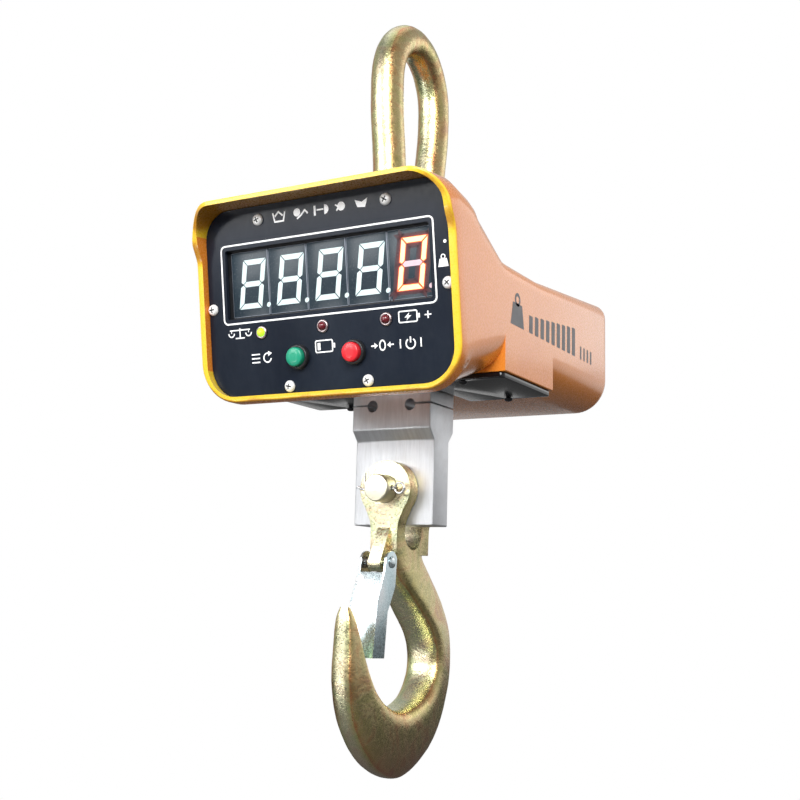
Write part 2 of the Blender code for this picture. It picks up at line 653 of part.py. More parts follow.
def build_batteries():
    screw = screw_mesh("door_screw_mesh", 0.0028, 0.0018, 0.0015, 0.0068)
    for side, hand in ((-1, "left"), (1, "right")):
        edges = sorted((side * DOOR_INNER, side * DOOR_OUTER))
        outline = rounded(edges[0], edges[1], DOOR_FRONT, DOOR_BACK, 0.003, 0.003, 4)
        holes = [arc((side * DOOR_SCREW_X, y), 0.0020, 0, 315, 7) for y in DOOR_SCREWS]
        thickness = FLOOR - GAP - DOOR_LOW
        depth = Matrix.Translation((0, 0, lift(DOOR_LOW + thickness / 2)))
        cover = plate(f"battery_cover_{hand}", [outline] + holes, thickness, BLACK, depth)
        bevel(cover, 0.0006, 1)
        pack = sorted((side * BATTERY_LOW[0], side * BATTERY_HIGH[0]))
        battery = box(f"battery_{hand}", (pack[0], BATTERY_LOW[1], lift(FLOOR + 0.0002)),
                      (pack[1], BATTERY_HIGH[1], lift(0.1270)), BATTERY)
        bevel(battery, 0.0015, 2)
        for y, place in zip(DOOR_SCREWS, ("front", "rear")):
            head = (side * DOOR_SCREW_X, y, lift(DOOR_LOW - GAP))
            place_screw(f"{place}_{hand}_cover_screw", screw, head, (0, 0, -1), 15 + 60 * side)


# ---- shackle -------------------------------------------------------------------------
def pin_profile(length_front, length_rear):
    """A headed clevis pin along its own Z: the head is at the bottom, the cotter end on top."""
    r = PIN_RADIUS
    end = -length_rear
    return [(0.0, length_front), (r - 0.0008, length_front), (r, length_front - 0.0008),
            (r, end), (r + 0.0030, end), (r + 0.0040, end - 0.0010),
            (r + 0.0040, end - 0.0036), (r + 0.0028, end - 0.0050), (0.0, end - 0.0050)]


def build_pin(name, front, rear, cotter_at, axis):
    """A clevis pin along Y with its head behind and a cotter through its front end."""
    profile = pin_profile(front, rear)
    pin = turned(f"{name}_pin", profile, (0, 0, 0), (0, -1, 0), YELLOW_ZINC, 24, axis)
    drill(pin, 0.0019, (-0.012, -cotter_at, 0.0), (0.012, -cotter_at, 0.0), axis)
    smooth(frozen(pin))
    r = PIN_RADIUS
    y = -cotter_at
    loop = arc((r + 0.0050, 0.0), 0.0032, 150, -150, 10)
    eye = [(x, y, z) for x, z in [(r + 0.0010, 0.0006)] + loop]
    stem = [(r + 0.0012, y, 0.0), (-r - 0.0010, y, 0.0)]
    level_leg = [(-r - 0.0040, y - 0.0004, 0.0006), (-r - 0.0075, y - 0.0008, 0.0012)]
    bent_leg = [(-r - 0.0016, y, 0.0012), (-r - 0.0024, y, 0.0045), (-r - 0.0026, y, 0.0095)]
    body = tube(f"{name}_cotter", stem + level_leg, 0.0014, STEEL, [1, 1, 0.7, 0.6], 2, axis)
    boolean(body, tube(f"{name}_cotter_eye", eye, 0.0008, None, None, 2, axis), "UNION")
    leg = tube(f"{name}_cotter_leg", [stem[1]] + bent_leg, 0.0009, None, [1, 1, 1, 0.9], 2, axis)
    boolean(body, leg, "UNION")
    frozen(body)


def bow_path():
    """One half of the bow, from the eye up to the crown: y, height and bar thickness."""
    legs = [(0.0195, 0.0080, 0.78), (0.0200, 0.0160, 0.84), (0.0212, 0.0260, 0.92),
            (0.0228, 0.0345, 0.98), (0.0246, 0.0440, 1.0), (0.0262, 0.0530, 1.0),
            (0.0272, 0.0620, 1.0), (0.0282, 0.0710, 1.0), (0.0296, 0.0800, 1.0),
            (0.0310, 0.0890, 1.0), (0.0321, 0.0990, 1.0), (0.0325, 0.1090, 1.0)]
    crown = CROWN_TO_HOOK_PIN - PIN_SPAN + SHACKLE_BAR
    middle = 0.1175
    turn = [radians(a) for a in range(0, 91, 15)]
    return legs + [(0.0325 * cos(a), middle + (crown - middle) * sin(a), 1.0) for a in turn]


def build_shackle():
    half = bow_path()
    path = [(0, y, height) for y, height, size in half]
    path += [(0, -y, height) for y, height, size in reversed(half[:-1])]
    size = [size for y, height, size in half]
    size += [size for y, height, size in reversed(half[:-1])]
    bow = tube("shackle", path, SHACKLE_BAR, YELLOW_ZINC, size, 3, shackle_axis)
    for side in (-1, 1):
        near = (0, side * SHACKLE_INNER, 0)
        far = (0, side * SHACKLE_OUTER, 0)
        eye = cylinder("shackle_eye", SHACKLE_EYE, near, far, None, 28, shackle_axis)
        bevel(eye, 0.0015, 2)
        boolean(bow, eye, "UNION")
    mill(bow, (-0.025, -SHACKLE_INNER, -0.025), (0.025, SHACKLE_INNER, 0.028), shackle_axis)
    drill(bow, PIN_RADIUS + GAP, (0, -0.04, 0), (0, 0.04, 0), shackle_axis, 24)
    smooth(frozen(bow), 40)
    build_pin("shackle", 0.0395, 0.0284, 0.0335, shackle_axis)


# ---- hook ----------------------------------------------------------------------------
def spline_value(values, position):
    """Catmull-Rom interpolation through a list of numbers."""
    index = min(int(position), len(values) - 2)
    t = position - index
    before = values[max(index - 1, 0)]
    after = values[min(index + 2, len(values) - 1)]
    start = values[index]
    end = values[index + 1]
    square = 2 * before - 5 * start + 4 * end - after
    cube = 3 * start - before - 3 * end + after
    return 0.5 * (2 * start + (end - before) * t + square * t ** 2 + cube * t ** 3)


def hook_section(position, points=16):
    """One ring of the forging: wide and rounded inside, a narrow flat rim outside."""
    stations = [(*inner, *outer, wide, narrow) for inner, outer, wide, narrow in HOOK_STATIONS]
    rows = list(zip(*stations))
    iy, iz, oy, oz, wide, narrow = [spline_value(row, position) for row in rows]
    ring_points = []
    for k in range(points):
        angle = 2 * pi * (k + 0.5) / points
        across = abs(cos(angle)) ** 0.55 * (1 if cos(angle) > 0 else -1)
        beside = abs(sin(angle)) ** 0.70 * (1 if sin(angle) > 0 else -1)
        part = (across + 1) / 2
        width = wide + (narrow - wide) * part
        y = iy + (oy - iy) * part
        z = iz + (oz - iz) * part
        ring_points.append(Vector((width * beside, y, z)))
    return ring_points


def build_hook():
    steps = 2
    last = len(HOOK_STATIONS) - 1
    rings = [hook_section(i / steps) for i in range(last * steps + 1)]
    hook = loft("hook", rings, YELLOW_ZINC)
    hook.parent = hook_axis
    outline = (arc((0, 0), CLEVIS_EYE, -38, 218, 20)
               + [(-0.0106, -0.0190), (-0.0095, -0.0260), (-0.0093, -0.0400)]
               + [(0.0093, -0.0400), (0.0095, -0.0260), (0.0106, -0.0190)])
    clevis = plate("clevis", [outline], 2 * CLEVIS_OUTER, None, FACING, hook_axis)
    bevel(clevis, 0.0018, 1)
    boolean(hook, clevis, "UNION")
    slot_floor = -0.0262
    mill(hook, (-0.03, -CLEVIS_INNER, slot_floor), (0.03, CLEVIS_INNER, 0.03), hook_axis)
    drill(hook, CLEVIS_INNER, (-0.03, 0, slot_floor), (0.03, 0, slot_floor), hook_axis, 24)
    pivot_y, pivot_z = LATCH_PIVOT
    lug = [(-0.0150, -0.0280), (-0.0212, -0.0240)] + arc(LATCH_PIVOT, 0.0058, 180, 290, 8)
    lug.append((-0.0150, -0.0520))
    boolean(hook, plate("latch_lug", [lug], 0.0088, None, SIDEWAYS, hook_axis), "UNION")
    drill(hook, 0.0023, (-0.03, pivot_y, pivot_z), (0.03, pivot_y, pivot_z), hook_axis)
    drill(hook, PIN_RADIUS + GAP, (0, -0.03, 0), (0, 0.03, 0), hook_axis, 24)
    y, height = HOOK_STATIONS[7][0]
    seat = 0.0060
    mill(hook, (-seat, y - seat, height - 0.0006), (seat, y + seat, height + 0.02), hook_axis)
    smooth(frozen(hook), 40)
    build_pin("hook", 0.0330, 0.0214, 0.0268, hook_axis)


def build_latch():
    cheek = (arc((0, 0), 0.0068, 20, 165, 8)
             + [(-0.0080, -0.0060), (-0.0160, -0.0235), (-0.0200, -0.0566), (-0.0062, -0.0572),
                (-0.0035, -0.0300), (0.0050, -0.0150)])
    latch = plate("latch", [cheek], 2 * LATCH_HALF_WIDTH, STEEL, SIDEWAYS, latch_axis)
    t = LATCH_SHEET
    inside = [(-0.0200, 0.0200), (-0.0200, -0.0060), (-0.0080 + t, -0.0062),
              (-0.0160 + t, -0.0238), (-0.0200 + t, -0.0620), (0.0200, -0.0620), (0.0200, 0.0200)]
    width = 2 * (LATCH_HALF_WIDTH - t)
    boolean(latch, plate("latch_hollow", [inside], width, None, SIDEWAYS, latch_axis))
    drill(latch, 0.0023, (-0.02, 0, 0), (0.02, 0, 0), latch_axis)
    frozen(latch)
    head = LATCH_HALF_WIDTH + GAP
    rivet = [(0.0, head + 0.0013), (0.0022, head + 0.0012), (0.0034, head + 0.0006), (0.0036, head),
             (0.0020, head), (0.0020, -head), (0.0036, -head), (0.0034, -head - 0.0006),
             (0.0022, -head - 0.0012), (0.0, -head - 0.0013)]
    smooth(turned("latch_rivet", rivet, (0, 0, 0), (1, 0, 0), STEEL, 14, latch_axis))
    turns = 2.25
    steps = 10
    coil = []
    for i in range(int(turns * steps) + 1):
        angle = radians(-60) + 2 * pi * i / steps
        x = -0.0074 + 0.0021 * i / (turns * steps)
        coil.append((x, 0.0034 * cos(angle), 0.0034 * sin(angle)))
    tube("latch_spring", coil, 0.00042, STEEL, None, 2, latch_axis)


build_housing()
build_front_panel()
build_display()
build_lamps()
build_buttons()
build_load_cell()
build_brackets()
build_seal_and_wiring()
build_batteries()
build_shackle()
build_hook()
build_latch()
bpy.context.view_layer.update()
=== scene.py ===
import json
from math import atan2, cos, pi, radians, sin, tan

import bmesh
import bpy
from mathutils import Matrix, Vector, noise


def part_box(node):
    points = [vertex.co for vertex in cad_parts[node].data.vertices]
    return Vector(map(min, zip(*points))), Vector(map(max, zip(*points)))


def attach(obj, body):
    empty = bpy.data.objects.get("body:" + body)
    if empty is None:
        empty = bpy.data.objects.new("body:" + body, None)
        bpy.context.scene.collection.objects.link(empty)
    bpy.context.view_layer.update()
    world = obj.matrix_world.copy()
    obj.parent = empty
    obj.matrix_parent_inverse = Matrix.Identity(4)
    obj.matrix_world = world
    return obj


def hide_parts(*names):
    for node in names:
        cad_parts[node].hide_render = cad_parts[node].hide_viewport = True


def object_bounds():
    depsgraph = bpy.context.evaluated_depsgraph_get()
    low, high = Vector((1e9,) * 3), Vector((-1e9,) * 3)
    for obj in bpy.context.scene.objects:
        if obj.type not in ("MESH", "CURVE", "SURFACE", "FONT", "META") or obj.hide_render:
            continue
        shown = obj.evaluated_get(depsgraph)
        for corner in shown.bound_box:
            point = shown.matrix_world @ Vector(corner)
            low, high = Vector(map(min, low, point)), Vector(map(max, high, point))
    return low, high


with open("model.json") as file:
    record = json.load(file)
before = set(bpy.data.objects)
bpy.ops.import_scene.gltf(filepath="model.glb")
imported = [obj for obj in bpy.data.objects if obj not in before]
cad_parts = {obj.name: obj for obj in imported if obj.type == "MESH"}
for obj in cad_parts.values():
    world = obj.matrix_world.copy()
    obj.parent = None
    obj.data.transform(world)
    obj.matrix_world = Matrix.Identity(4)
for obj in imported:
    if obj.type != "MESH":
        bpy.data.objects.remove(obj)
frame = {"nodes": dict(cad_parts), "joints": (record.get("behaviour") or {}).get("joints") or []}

MM = 0.001
CAD_LOW, CAD_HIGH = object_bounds()

# ---- what the frame says ---------------------------------------------------------------
JOINTS = {joint["name"]: joint for joint in frame["joints"]}
SHACKLE_PIN = Vector(JOINTS["shackle_swing"]["pos_m"])
HOOK_PIN = Vector(JOINTS["hook_swing"]["pos_m"])
LATCH_PIN = Vector(JOINTS["latch_hinge"]["pos_m"])
PRESS = Vector(JOINTS["recall_press"]["axis"]).normalized()
TILT = atan2(PRESS.z, PRESS.y)
PIN_SPAN = SHACKLE_PIN.z - HOOK_PIN.z
CROWN = -SHACKLE_PIN.z                      # shackle pin up to the crown's inner side

HOUSING_LOW, HOUSING_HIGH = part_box("housing")
PANEL_LOW, PANEL_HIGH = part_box("front_panel")
CELL_HALF_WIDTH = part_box("load_cell")[1].x
HALF_WIDTH = HOUSING_HIGH.x
REAR = HOUSING_HIGH.y
GAP = 0.0003
WALL = 0.0032
PANEL_THICKNESS = 0.0025
PANEL_MIDDLE_V = 0.0030                     # the panel's middle above its own origin

# Turns that stand a flat outline up, to look along X or along -Y.
SIDEWAYS = Matrix(((0, 0, 1, 0), (1, 0, 0, 0), (0, 1, 0, 0), (0, 0, 0, 1)))
FACING = Matrix(((1, 0, 0, 0), (0, 0, -1, 0), (0, 1, 0, 0), (0, 0, 0, 1)))


def lift(height):
    """World height of a point given by its height above the hook pin."""
    return HOOK_PIN.z + height


def panel_matrix():
    """The panel's own frame: X across, Y up the panel, Z out of its face."""
    out = -PRESS
    across = Vector((1, 0, 0))
    up = out.cross(across)
    origin = (PANEL_LOW + PANEL_HIGH) / 2 - up * PANEL_MIDDLE_V + out * PANEL_THICKNESS / 2
    turn = Matrix((across, up, out)).transposed().to_4x4()
    return Matrix.Translation(origin) @ turn


PANEL = panel_matrix()
PANEL_Y = PANEL.translation.y
PANEL_HEIGHT = PANEL.translation.z - HOOK_PIN.z


def on_face(node):
    """Where a node's axis meets the panel, as (u, v)."""
    low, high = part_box(node)
    local = PANEL.inverted() @ ((low + high) / 2)
    return local.x, local.y


# ---- materials -------------------------------------------------------------------------
def link(tree, source, output, target, socket):
    tree.links.new(source.outputs[output], target.inputs[socket])


def object_space(tree, stretch):
    """Coordinates fixed to the piece, stretched along its axes."""
    place = tree.nodes.new("ShaderNodeTexCoord")
    mapping = tree.nodes.new("ShaderNodeMapping")
    mapping.inputs["Scale"].default_value = stretch
    link(tree, place, "Object", mapping, "Vector")
    return mapping


def noise_node(tree, mapping, scale, detail=4.0, rough=0.55, distortion=0.0):
    made = tree.nodes.new("ShaderNodeTexNoise")
    made.inputs["Scale"].default_value = scale
    made.inputs["Detail"].default_value = detail
    made.inputs["Roughness"].default_value = rough
    made.inputs["Distortion"].default_value = distortion
    link(tree, mapping, 0, made, "Vector")
    return made


def ramp_node(tree, source, stops):
    """Colours along a noise value: stops are (position, colour)."""
    made = tree.nodes.new("ShaderNodeValToRGB")
    elements = made.color_ramp.elements
    while len(elements) < len(stops):
        elements.new(0.5)
    for element, (position, colour) in zip(elements, stops):
        element.position = position
        element.color = (*colour, 1.0)
    link(tree, source, 0, made, 0)
    return made


def range_node(tree, source, low, high, from_low=0.3, from_high=0.7, output=0):
    made = tree.nodes.new("ShaderNodeMapRange")
    made.inputs["From Min"].default_value = from_low
    made.inputs["From Max"].default_value = from_high
    made.inputs["To Min"].default_value = low
    made.inputs["To Max"].default_value = high
    link(tree, source, output, made, "Value")
    return made


def axes_node(tree, coordinates):
    """The three axes of one kind of texture coordinates."""
    place = tree.nodes.new("ShaderNodeTexCoord")
    parts = tree.nodes.new("ShaderNodeSeparateXYZ")
    link(tree, place, coordinates, parts, 0)
    return parts


def bump_node(tree, height, strength, distance, under=None):
    made = tree.nodes.new("ShaderNodeBump")
    made.inputs["Strength"].default_value = strength
    made.inputs["Distance"].default_value = distance
    link(tree, height, 0, made, "Height")
    if under is not None:
        link(tree, under, "Normal", made, "Normal")
    return made


def colour_of(node):
    """The colour output of a ramp or of a mix."""
    return node.outputs[2 if node.bl_idname == "ShaderNodeMix" else 0]


def blend_node(tree, amount, first, second):
    """Second over first, mixed by a value or by a node."""
    made = tree.nodes.new("ShaderNodeMix")
    made.data_type = "RGBA"
    factor, below, above = made.inputs[0], made.inputs[6], made.inputs[7]
    if isinstance(amount, float):
        factor.default_value = amount
    else:
        tree.links.new(amount.outputs[0], factor)
    tree.links.new(colour_of(first), below)
    if isinstance(second, tuple):
        above.default_value = (*second, 1.0)
    else:
        tree.links.new(second.outputs[0], above)
    return made


def overlaid(made, amount, second):
    """A material with a second colour mixed over its own."""
    tree = made.node_tree
    base = tree.nodes["Principled BSDF"].inputs["Base Color"]
    tree.links.new(colour_of(blend_node(tree, amount, base.links[0].from_node, second)), base)
    return made


def surface(name, stops, scale, roughness, relief, metallic=0.0, stretch=(1, 1, 1), grain=None,
            grime=None, distortion=0.0, **sockets):
    """A Principled material: colour from broad noise, gloss and relief from fine noise.

    relief is (scale, strength, distance); grain is an optional second, finer relief;
    grime is (colour, scale, share) of an uneven film over the colour.
    """
    made = bpy.data.materials.new(name)
    made.use_nodes = True
    tree = made.node_tree
    shader = tree.nodes["Principled BSDF"]
    space = object_space(tree, stretch)
    broad = noise_node(tree, space, scale, 5.0, 0.6, distortion)
    colour = ramp_node(tree, broad, stops)
    if grime is not None:
        film = noise_node(tree, space, grime[1], 6.0, 0.65, 0.4)
        amount = range_node(tree, film, 0.0, grime[2], 0.45, 0.75)
        colour = blend_node(tree, amount, colour, grime[0])
    tree.links.new(colour_of(colour), shader.inputs["Base Color"])
    fine = noise_node(tree, space, relief[0], 4.0, 0.6)
    gloss = range_node(tree, fine, *roughness)
    link(tree, gloss, 0, shader, "Roughness")
    bump = bump_node(tree, fine, *relief[1:])
    if grain is not None:
        bump = bump_node(tree, noise_node(tree, space, grain[0], 2.0, 0.5), *grain[1:], bump)
    link(tree, bump, "Normal", shader, "Normal")
    shader.inputs["Metallic"].default_value = metallic
    for socket, value in sockets.items():
        shader.inputs[socket.replace("_", " ")].default_value = value
    return made


def tinted_by_normal(made, axis, flip, stops, amount):
    """Mix a second colour, chosen by which way the surface faces, over a material's own; here it paints shade
    and highlight by facing.
    """
    tree = made.node_tree
    facing = tree.nodes.new("ShaderNodeMath")
    facing.operation = flip
    link(tree, axes_node(tree, "Normal"), axis, facing, 0)
    facing.inputs[1].default_value = 0.5
    facing.inputs[2].default_value = 0.5
    drift = noise_node(tree, object_space(tree, (1, 1, 1)), 34, 5.0, 0.6, 1.0)
    sway = range_node(tree, drift, -0.16 * amount, 0.16 * amount)
    total = tree.nodes.new("ShaderNodeMath")
    link(tree, facing, 0, total, 0)
    link(tree, sway, 0, total, 1)
    return overlaid(made, amount, ramp_node(tree, total, stops))


ORANGE = surface("orange_paint",
                 [(0.30, (0.80, 0.235, 0.022)), (0.55, (0.86, 0.275, 0.032)), (0.75, (0.90, 0.31, 0.045))],
                 14, (0.20, 0.34), (900, 0.10, 0.0004), grain=(260, 0.12, 0.0005),
                 grime=((0.62, 0.17, 0.02), 40, 0.18), Coat_Weight=0.6, Coat_Roughness=0.12)
# Yellow rim paint with painted light by facing: down-facing faces such as the visor's underside get a brown
# painted shade, and up-facing faces a pale cream painted highlight.
RIM_YELLOW_PAINTED_SHADE = tinted_by_normal(
    surface("yellow_rim_painted_shade_and_highlight",
            [(0.30, (0.90, 0.58, 0.02)), (0.55, (0.95, 0.66, 0.04)), (0.75, (0.98, 0.74, 0.08))],
            22, (0.22, 0.36), (900, 0.10, 0.0004), grime=((0.80, 0.36, 0.01), 60, 0.25),
            Coat_Weight=0.5, Coat_Roughness=0.15),
    "Z", "MULTIPLY_ADD",
    [(0.00, (0.34, 0.095, 0.006)), (0.22, (0.46, 0.14, 0.010)), (0.36, (0.93, 0.60, 0.03)),
     (0.70, (0.95, 0.62, 0.04)), (1.00, (0.98, 0.84, 0.30))], 0.80)
BLACK = surface("black_plastic",
                [(0.30, (0.010, 0.011, 0.013)), (0.60, (0.018, 0.019, 0.022)),
                 (0.80, (0.030, 0.032, 0.036))],
                30, (0.32, 0.48), (1500, 0.25, 0.0003), grime=((0.06, 0.06, 0.065), 90, 0.35))
PANEL_FACE = surface("panel_face",
                     [(0.30, (0.0085, 0.0125, 0.0215)), (0.55, (0.0115, 0.0165, 0.028)),
                      (0.80, (0.020, 0.028, 0.042))],
                     16, (0.14, 0.26), (700, 0.05, 0.0002), stretch=(1.0, 1.0, 0.35),
                     grime=((0.030, 0.038, 0.050), 24, 0.35), distortion=0.8,
                     Specular_IOR_Level=0.22)
DIGIT_FACE = surface("digit_face",
                     [(0.30, (0.024, 0.037, 0.050)), (0.55, (0.034, 0.050, 0.064)),
                      (0.80, (0.056, 0.074, 0.090))],
                     26, (0.18, 0.30), (900, 0.05, 0.0002), Specular_IOR_Level=0.30)
SEAM = surface("module_edge",
               [(0.30, (0.20, 0.23, 0.28)), (0.60, (0.25, 0.28, 0.33)), (0.80, (0.31, 0.34, 0.39))],
               80, (0.25, 0.40), (900, 0.05, 0.0002))
# The unlit bars carry a faint painted glow.
UNLIT = surface("unlit_segment",
                [(0.30, (0.62, 0.78, 0.80)), (0.55, (0.70, 0.85, 0.86)), (0.80, (0.78, 0.90, 0.90))],
                120, (0.30, 0.45), (1400, 0.10, 0.0002), Emission_Color=(0.62, 0.80, 0.84, 1.0),
                Emission_Strength=0.05)
# The unlit middle bar and dot of the lit digit carry a faint pink painted glow.
PINK = surface("faint_segment",
               [(0.30, (0.66, 0.46, 0.52)), (0.60, (0.74, 0.55, 0.60)), (0.80, (0.80, 0.62, 0.66))],
               120, (0.30, 0.45), (1400, 0.10, 0.0002), Emission_Color=(0.75, 0.50, 0.56, 1.0),
               Emission_Strength=0.12)
LIT = surface("lit_segment",
              [(0.30, (0.95, 0.52, 0.22)), (0.60, (1.0, 0.62, 0.30)), (0.80, (1.0, 0.72, 0.40))],
              120, (0.30, 0.45), (1400, 0.10, 0.0002), Emission_Color=(1.0, 0.74, 0.38, 1.0),
              Emission_Strength=1.0)
GLOWS = [surface(f"glow_{index + 1}",
                 [(0.30, (red * 0.8, green * 0.8, blue)), (0.70, (red, green, blue))],
                 90, (0.25, 0.40), (900, 0.05, 0.0002), Emission_Color=(red, green, blue, 1.0),
                 Emission_Strength=strength)
         for index, (red, green, blue, strength) in enumerate((
             (0.85, 0.15, 0.03, 0.50), (0.15, 0.010, 0.012, 0.20), (0.085, 0.010, 0.014, 0.12),
             (0.050, 0.016, 0.022, 0.06)))]
# White print with a faint painted glow that lifts it brighter than its lighting.
PRINT = surface("white_print_painted_glow",
                [(0.30, (0.88, 0.89, 0.90)), (0.55, (0.93, 0.93, 0.93)), (0.80, (0.96, 0.96, 0.96))],
                200, (0.40, 0.55), (2500, 0.15, 0.0001), Emission_Color=(1.0, 1.0, 1.0, 1.0),
                Emission_Strength=0.18)
GREY_PRINT = surface("grey_print",
                     [(0.30, (0.085, 0.085, 0.092)), (0.55, (0.110, 0.110, 0.118)),
                      (0.80, (0.15, 0.145, 0.15))],
                     90, (0.35, 0.50), (1800, 0.15, 0.0001))
GREEN = surface("green_cap",
                [(0.30, (0.006, 0.28, 0.16)), (0.55, (0.010, 0.35, 0.20)), (0.80, (0.03, 0.43, 0.27))],
                120, (0.28, 0.40), (1200, 0.10, 0.0003), Coat_Weight=0.3, Coat_Roughness=0.2)
RED = surface("red_cap",
              [(0.30, (0.74, 0.014, 0.026)), (0.55, (0.84, 0.022, 0.034)), (0.80, (0.90, 0.05, 0.07))],
              120, (0.28, 0.40), (1200, 0.10, 0.0003), Coat_Weight=0.3, Coat_Roughness=0.2)
GREEN_LENS = surface("green_lens",
                     [(0.30, (0.45, 0.80, 0.02)), (0.60, (0.58, 0.92, 0.05)), (0.80, (0.80, 1.0, 0.12))],
                     300, (0.10, 0.20), (1200, 0.05, 0.0003), Emission_Color=(0.50, 0.95, 0.03, 1.0),
                     Emission_Strength=0.75, Coat_Weight=0.5, Coat_Roughness=0.05)
RED_LENS = surface("red_lens",
                   [(0.30, (0.10, 0.004, 0.010)), (0.60, (0.16, 0.008, 0.016)), (0.80, (0.26, 0.03, 0.04))],
                   300, (0.08, 0.18), (1200, 0.05, 0.0003), Coat_Weight=0.8, Coat_Roughness=0.05)
ALUMINIUM = surface("milled_aluminium",
                    [(0.30, (0.74, 0.755, 0.78)), (0.55, (0.81, 0.825, 0.85)), (0.80, (0.88, 0.89, 0.91))],
                    30, (0.38, 0.52), (700, 0.16, 0.0003), metallic=1.0, stretch=(1.0, 1.0, 9.0),
                    grain=(2600, 0.12, 0.0002), grime=((0.56, 0.55, 0.55), 70, 0.35))


def passivated(name, shade_low, shade_high):
    """Yellow chromate over zinc: its tint turns with the side of the bar, partly as a painted highlight, and
    drifts in patches.

    Below the first given height, in the piece's own frame, a purple brown painted shade covers the underside,
    fading out by the second.
    """
    made = surface(name,
                   [(0.30, (0.24, 0.34, 0.14)), (0.42, (0.50, 0.52, 0.18)), (0.50, (0.70, 0.62, 0.30)),
                    (0.58, (0.62, 0.40, 0.16)), (0.68, (0.50, 0.26, 0.16)), (0.80, (0.30, 0.40, 0.22))],
                   38, (0.18, 0.40), (520, 0.28, 0.0008), metallic=1.0,
                   grain=(1900, 0.22, 0.0004), distortion=1.4)
    # Faces that don't face sideways take a pale silver tint, partly a painted highlight on the prong rim and
    # partly the film's tint.
    tinted_by_normal(made, "X", "ABSOLUTE",
                     [(0.00, (0.86, 0.86, 0.72)), (0.38, (0.66, 0.70, 0.42)), (0.52, (0.68, 0.60, 0.28)),
                      (0.60, (0.56, 0.13, 0.07)), (0.70, (0.60, 0.28, 0.12)), (0.80, (0.64, 0.42, 0.20)),
                      (1.00, (0.60, 0.45, 0.27))], 0.5)
    tree = made.node_tree
    # Painted shade: purple brown over the underside, full below the first height and gone above the second.
    depth = range_node(tree, axes_node(tree, "Object"), 0.62, 0.0, shade_low, shade_high, "Z")
    return overlaid(made, depth, (0.30, 0.13, 0.12))


YELLOW_ZINC = passivated("yellow_zinc", -0.172, -0.140)
PIN_ZINC = surface("pin_zinc",
                   [(0.30, (0.70, 0.66, 0.50)), (0.55, (0.78, 0.74, 0.58)), (0.80, (0.84, 0.80, 0.64))],
                   60, (0.26, 0.40), (900, 0.12, 0.0003), metallic=1.0,
                   grime=((0.50, 0.42, 0.26), 90, 0.35))
WHITE_ZINC = surface("white_zinc",
                     [(0.28, (0.52, 0.68, 0.72)), (0.45, (0.66, 0.80, 0.84)), (0.58, (0.80, 0.86, 0.88)),
                      (0.72, (0.78, 0.72, 0.78)), (0.85, (0.60, 0.74, 0.80))],
                     34, (0.20, 0.34), (600, 0.12, 0.0004), metallic=1.0, distortion=0.8,
                     grain=(2200, 0.10, 0.0002))
STEEL = surface("bright_steel",
                [(0.30, (0.70, 0.71, 0.72)), (0.55, (0.80, 0.81, 0.82)), (0.80, (0.88, 0.88, 0.89))],
                160, (0.20, 0.34), (1500, 0.12, 0.0002), metallic=1.0)
SPRING = surface("spring_steel",
                 [(0.30, (0.16, 0.15, 0.14)), (0.55, (0.24, 0.23, 0.21)), (0.80, (0.34, 0.32, 0.28))],
                 200, (0.28, 0.40), (1500, 0.12, 0.0002), metallic=1.0)
RUBBER = surface("rubber",
                 [(0.30, (0.012, 0.012, 0.012)), (0.60, (0.022, 0.022, 0.022)),
                  (0.80, (0.034, 0.033, 0.032))],
                 60, (0.65, 0.82), (1800, 0.30, 0.0003))
BOARD = surface("circuit_board",
                [(0.40, (0.008, 0.11, 0.035)), (0.52, (0.012, 0.15, 0.05)), (0.60, (0.03, 0.24, 0.09))],
                220, (0.30, 0.45), (900, 0.20, 0.0003), distortion=1.5)
BATTERY = surface("battery_case",
                  [(0.30, (0.05, 0.055, 0.07)), (0.60, (0.08, 0.085, 0.10)), (0.80, (0.11, 0.115, 0.13))],
                  40, (0.40, 0.55), (1200, 0.20, 0.0003))
GLOSS_BLACK = surface("gloss_black",
                      [(0.30, (0.003, 0.003, 0.0045)), (0.60, (0.005, 0.005, 0.007)),
                       (0.80, (0.012, 0.013, 0.017))],
                      50, (0.10, 0.22), (1200, 0.10, 0.0002), grime=((0.03, 0.036, 0.046), 80, 0.25))
DARK_STEEL = surface("black_screw",
                     [(0.30, (0.02, 0.02, 0.024)), (0.60, (0.04, 0.04, 0.046)), (0.80, (0.07, 0.07, 0.08))],
                     200, (0.25, 0.40), (1500, 0.12, 0.0002), metallic=0.6)
# Painted shade: the cross recess of a screw head is coloured near black.
RECESS_PAINTED_SHADE = surface("screw_recess_painted_shade",
                 [(0.30, (0.02, 0.02, 0.02)), (0.60, (0.035, 0.035, 0.035)), (0.80, (0.06, 0.06, 0.06))],
                 300, (0.50, 0.65), (1500, 0.12, 0.0002))
# Nickel screw heads coloured near white and mostly non-metal: a painted highlight standing in for the
# plating's bright reflection.
BRIGHT_SCREW_PAINTED_HIGHLIGHT = surface("nickel_screw_painted_highlight",
                      [(0.30, (0.90, 0.90, 0.89)), (0.55, (0.94, 0.94, 0.93)), (0.80, (0.97, 0.97, 0.96))],
                      200, (0.30, 0.45), (1500, 0.12, 0.0002), metallic=0.20)
RING_STEEL = surface("lamp_ring",
                     [(0.30, (0.42, 0.34, 0.35)), (0.55, (0.55, 0.46, 0.47)), (0.80, (0.70, 0.62, 0.62))],
                     260, (0.22, 0.36), (1500, 0.12, 0.0002), metallic=1.0)


# ---- mesh helpers ----------------------------------------------------------------------
WELD = 0.000005


def add_piece(name, data, finishes, matrix=None):
    made = bpy.data.objects.new(name, data)
    bpy.context.scene.collection.objects.link(made)
    for finish in finishes if isinstance(finishes, (list, tuple)) else [finishes]:
        data.materials.append(finish)
    if matrix is not None:
        made.matrix_world = matrix
    return made


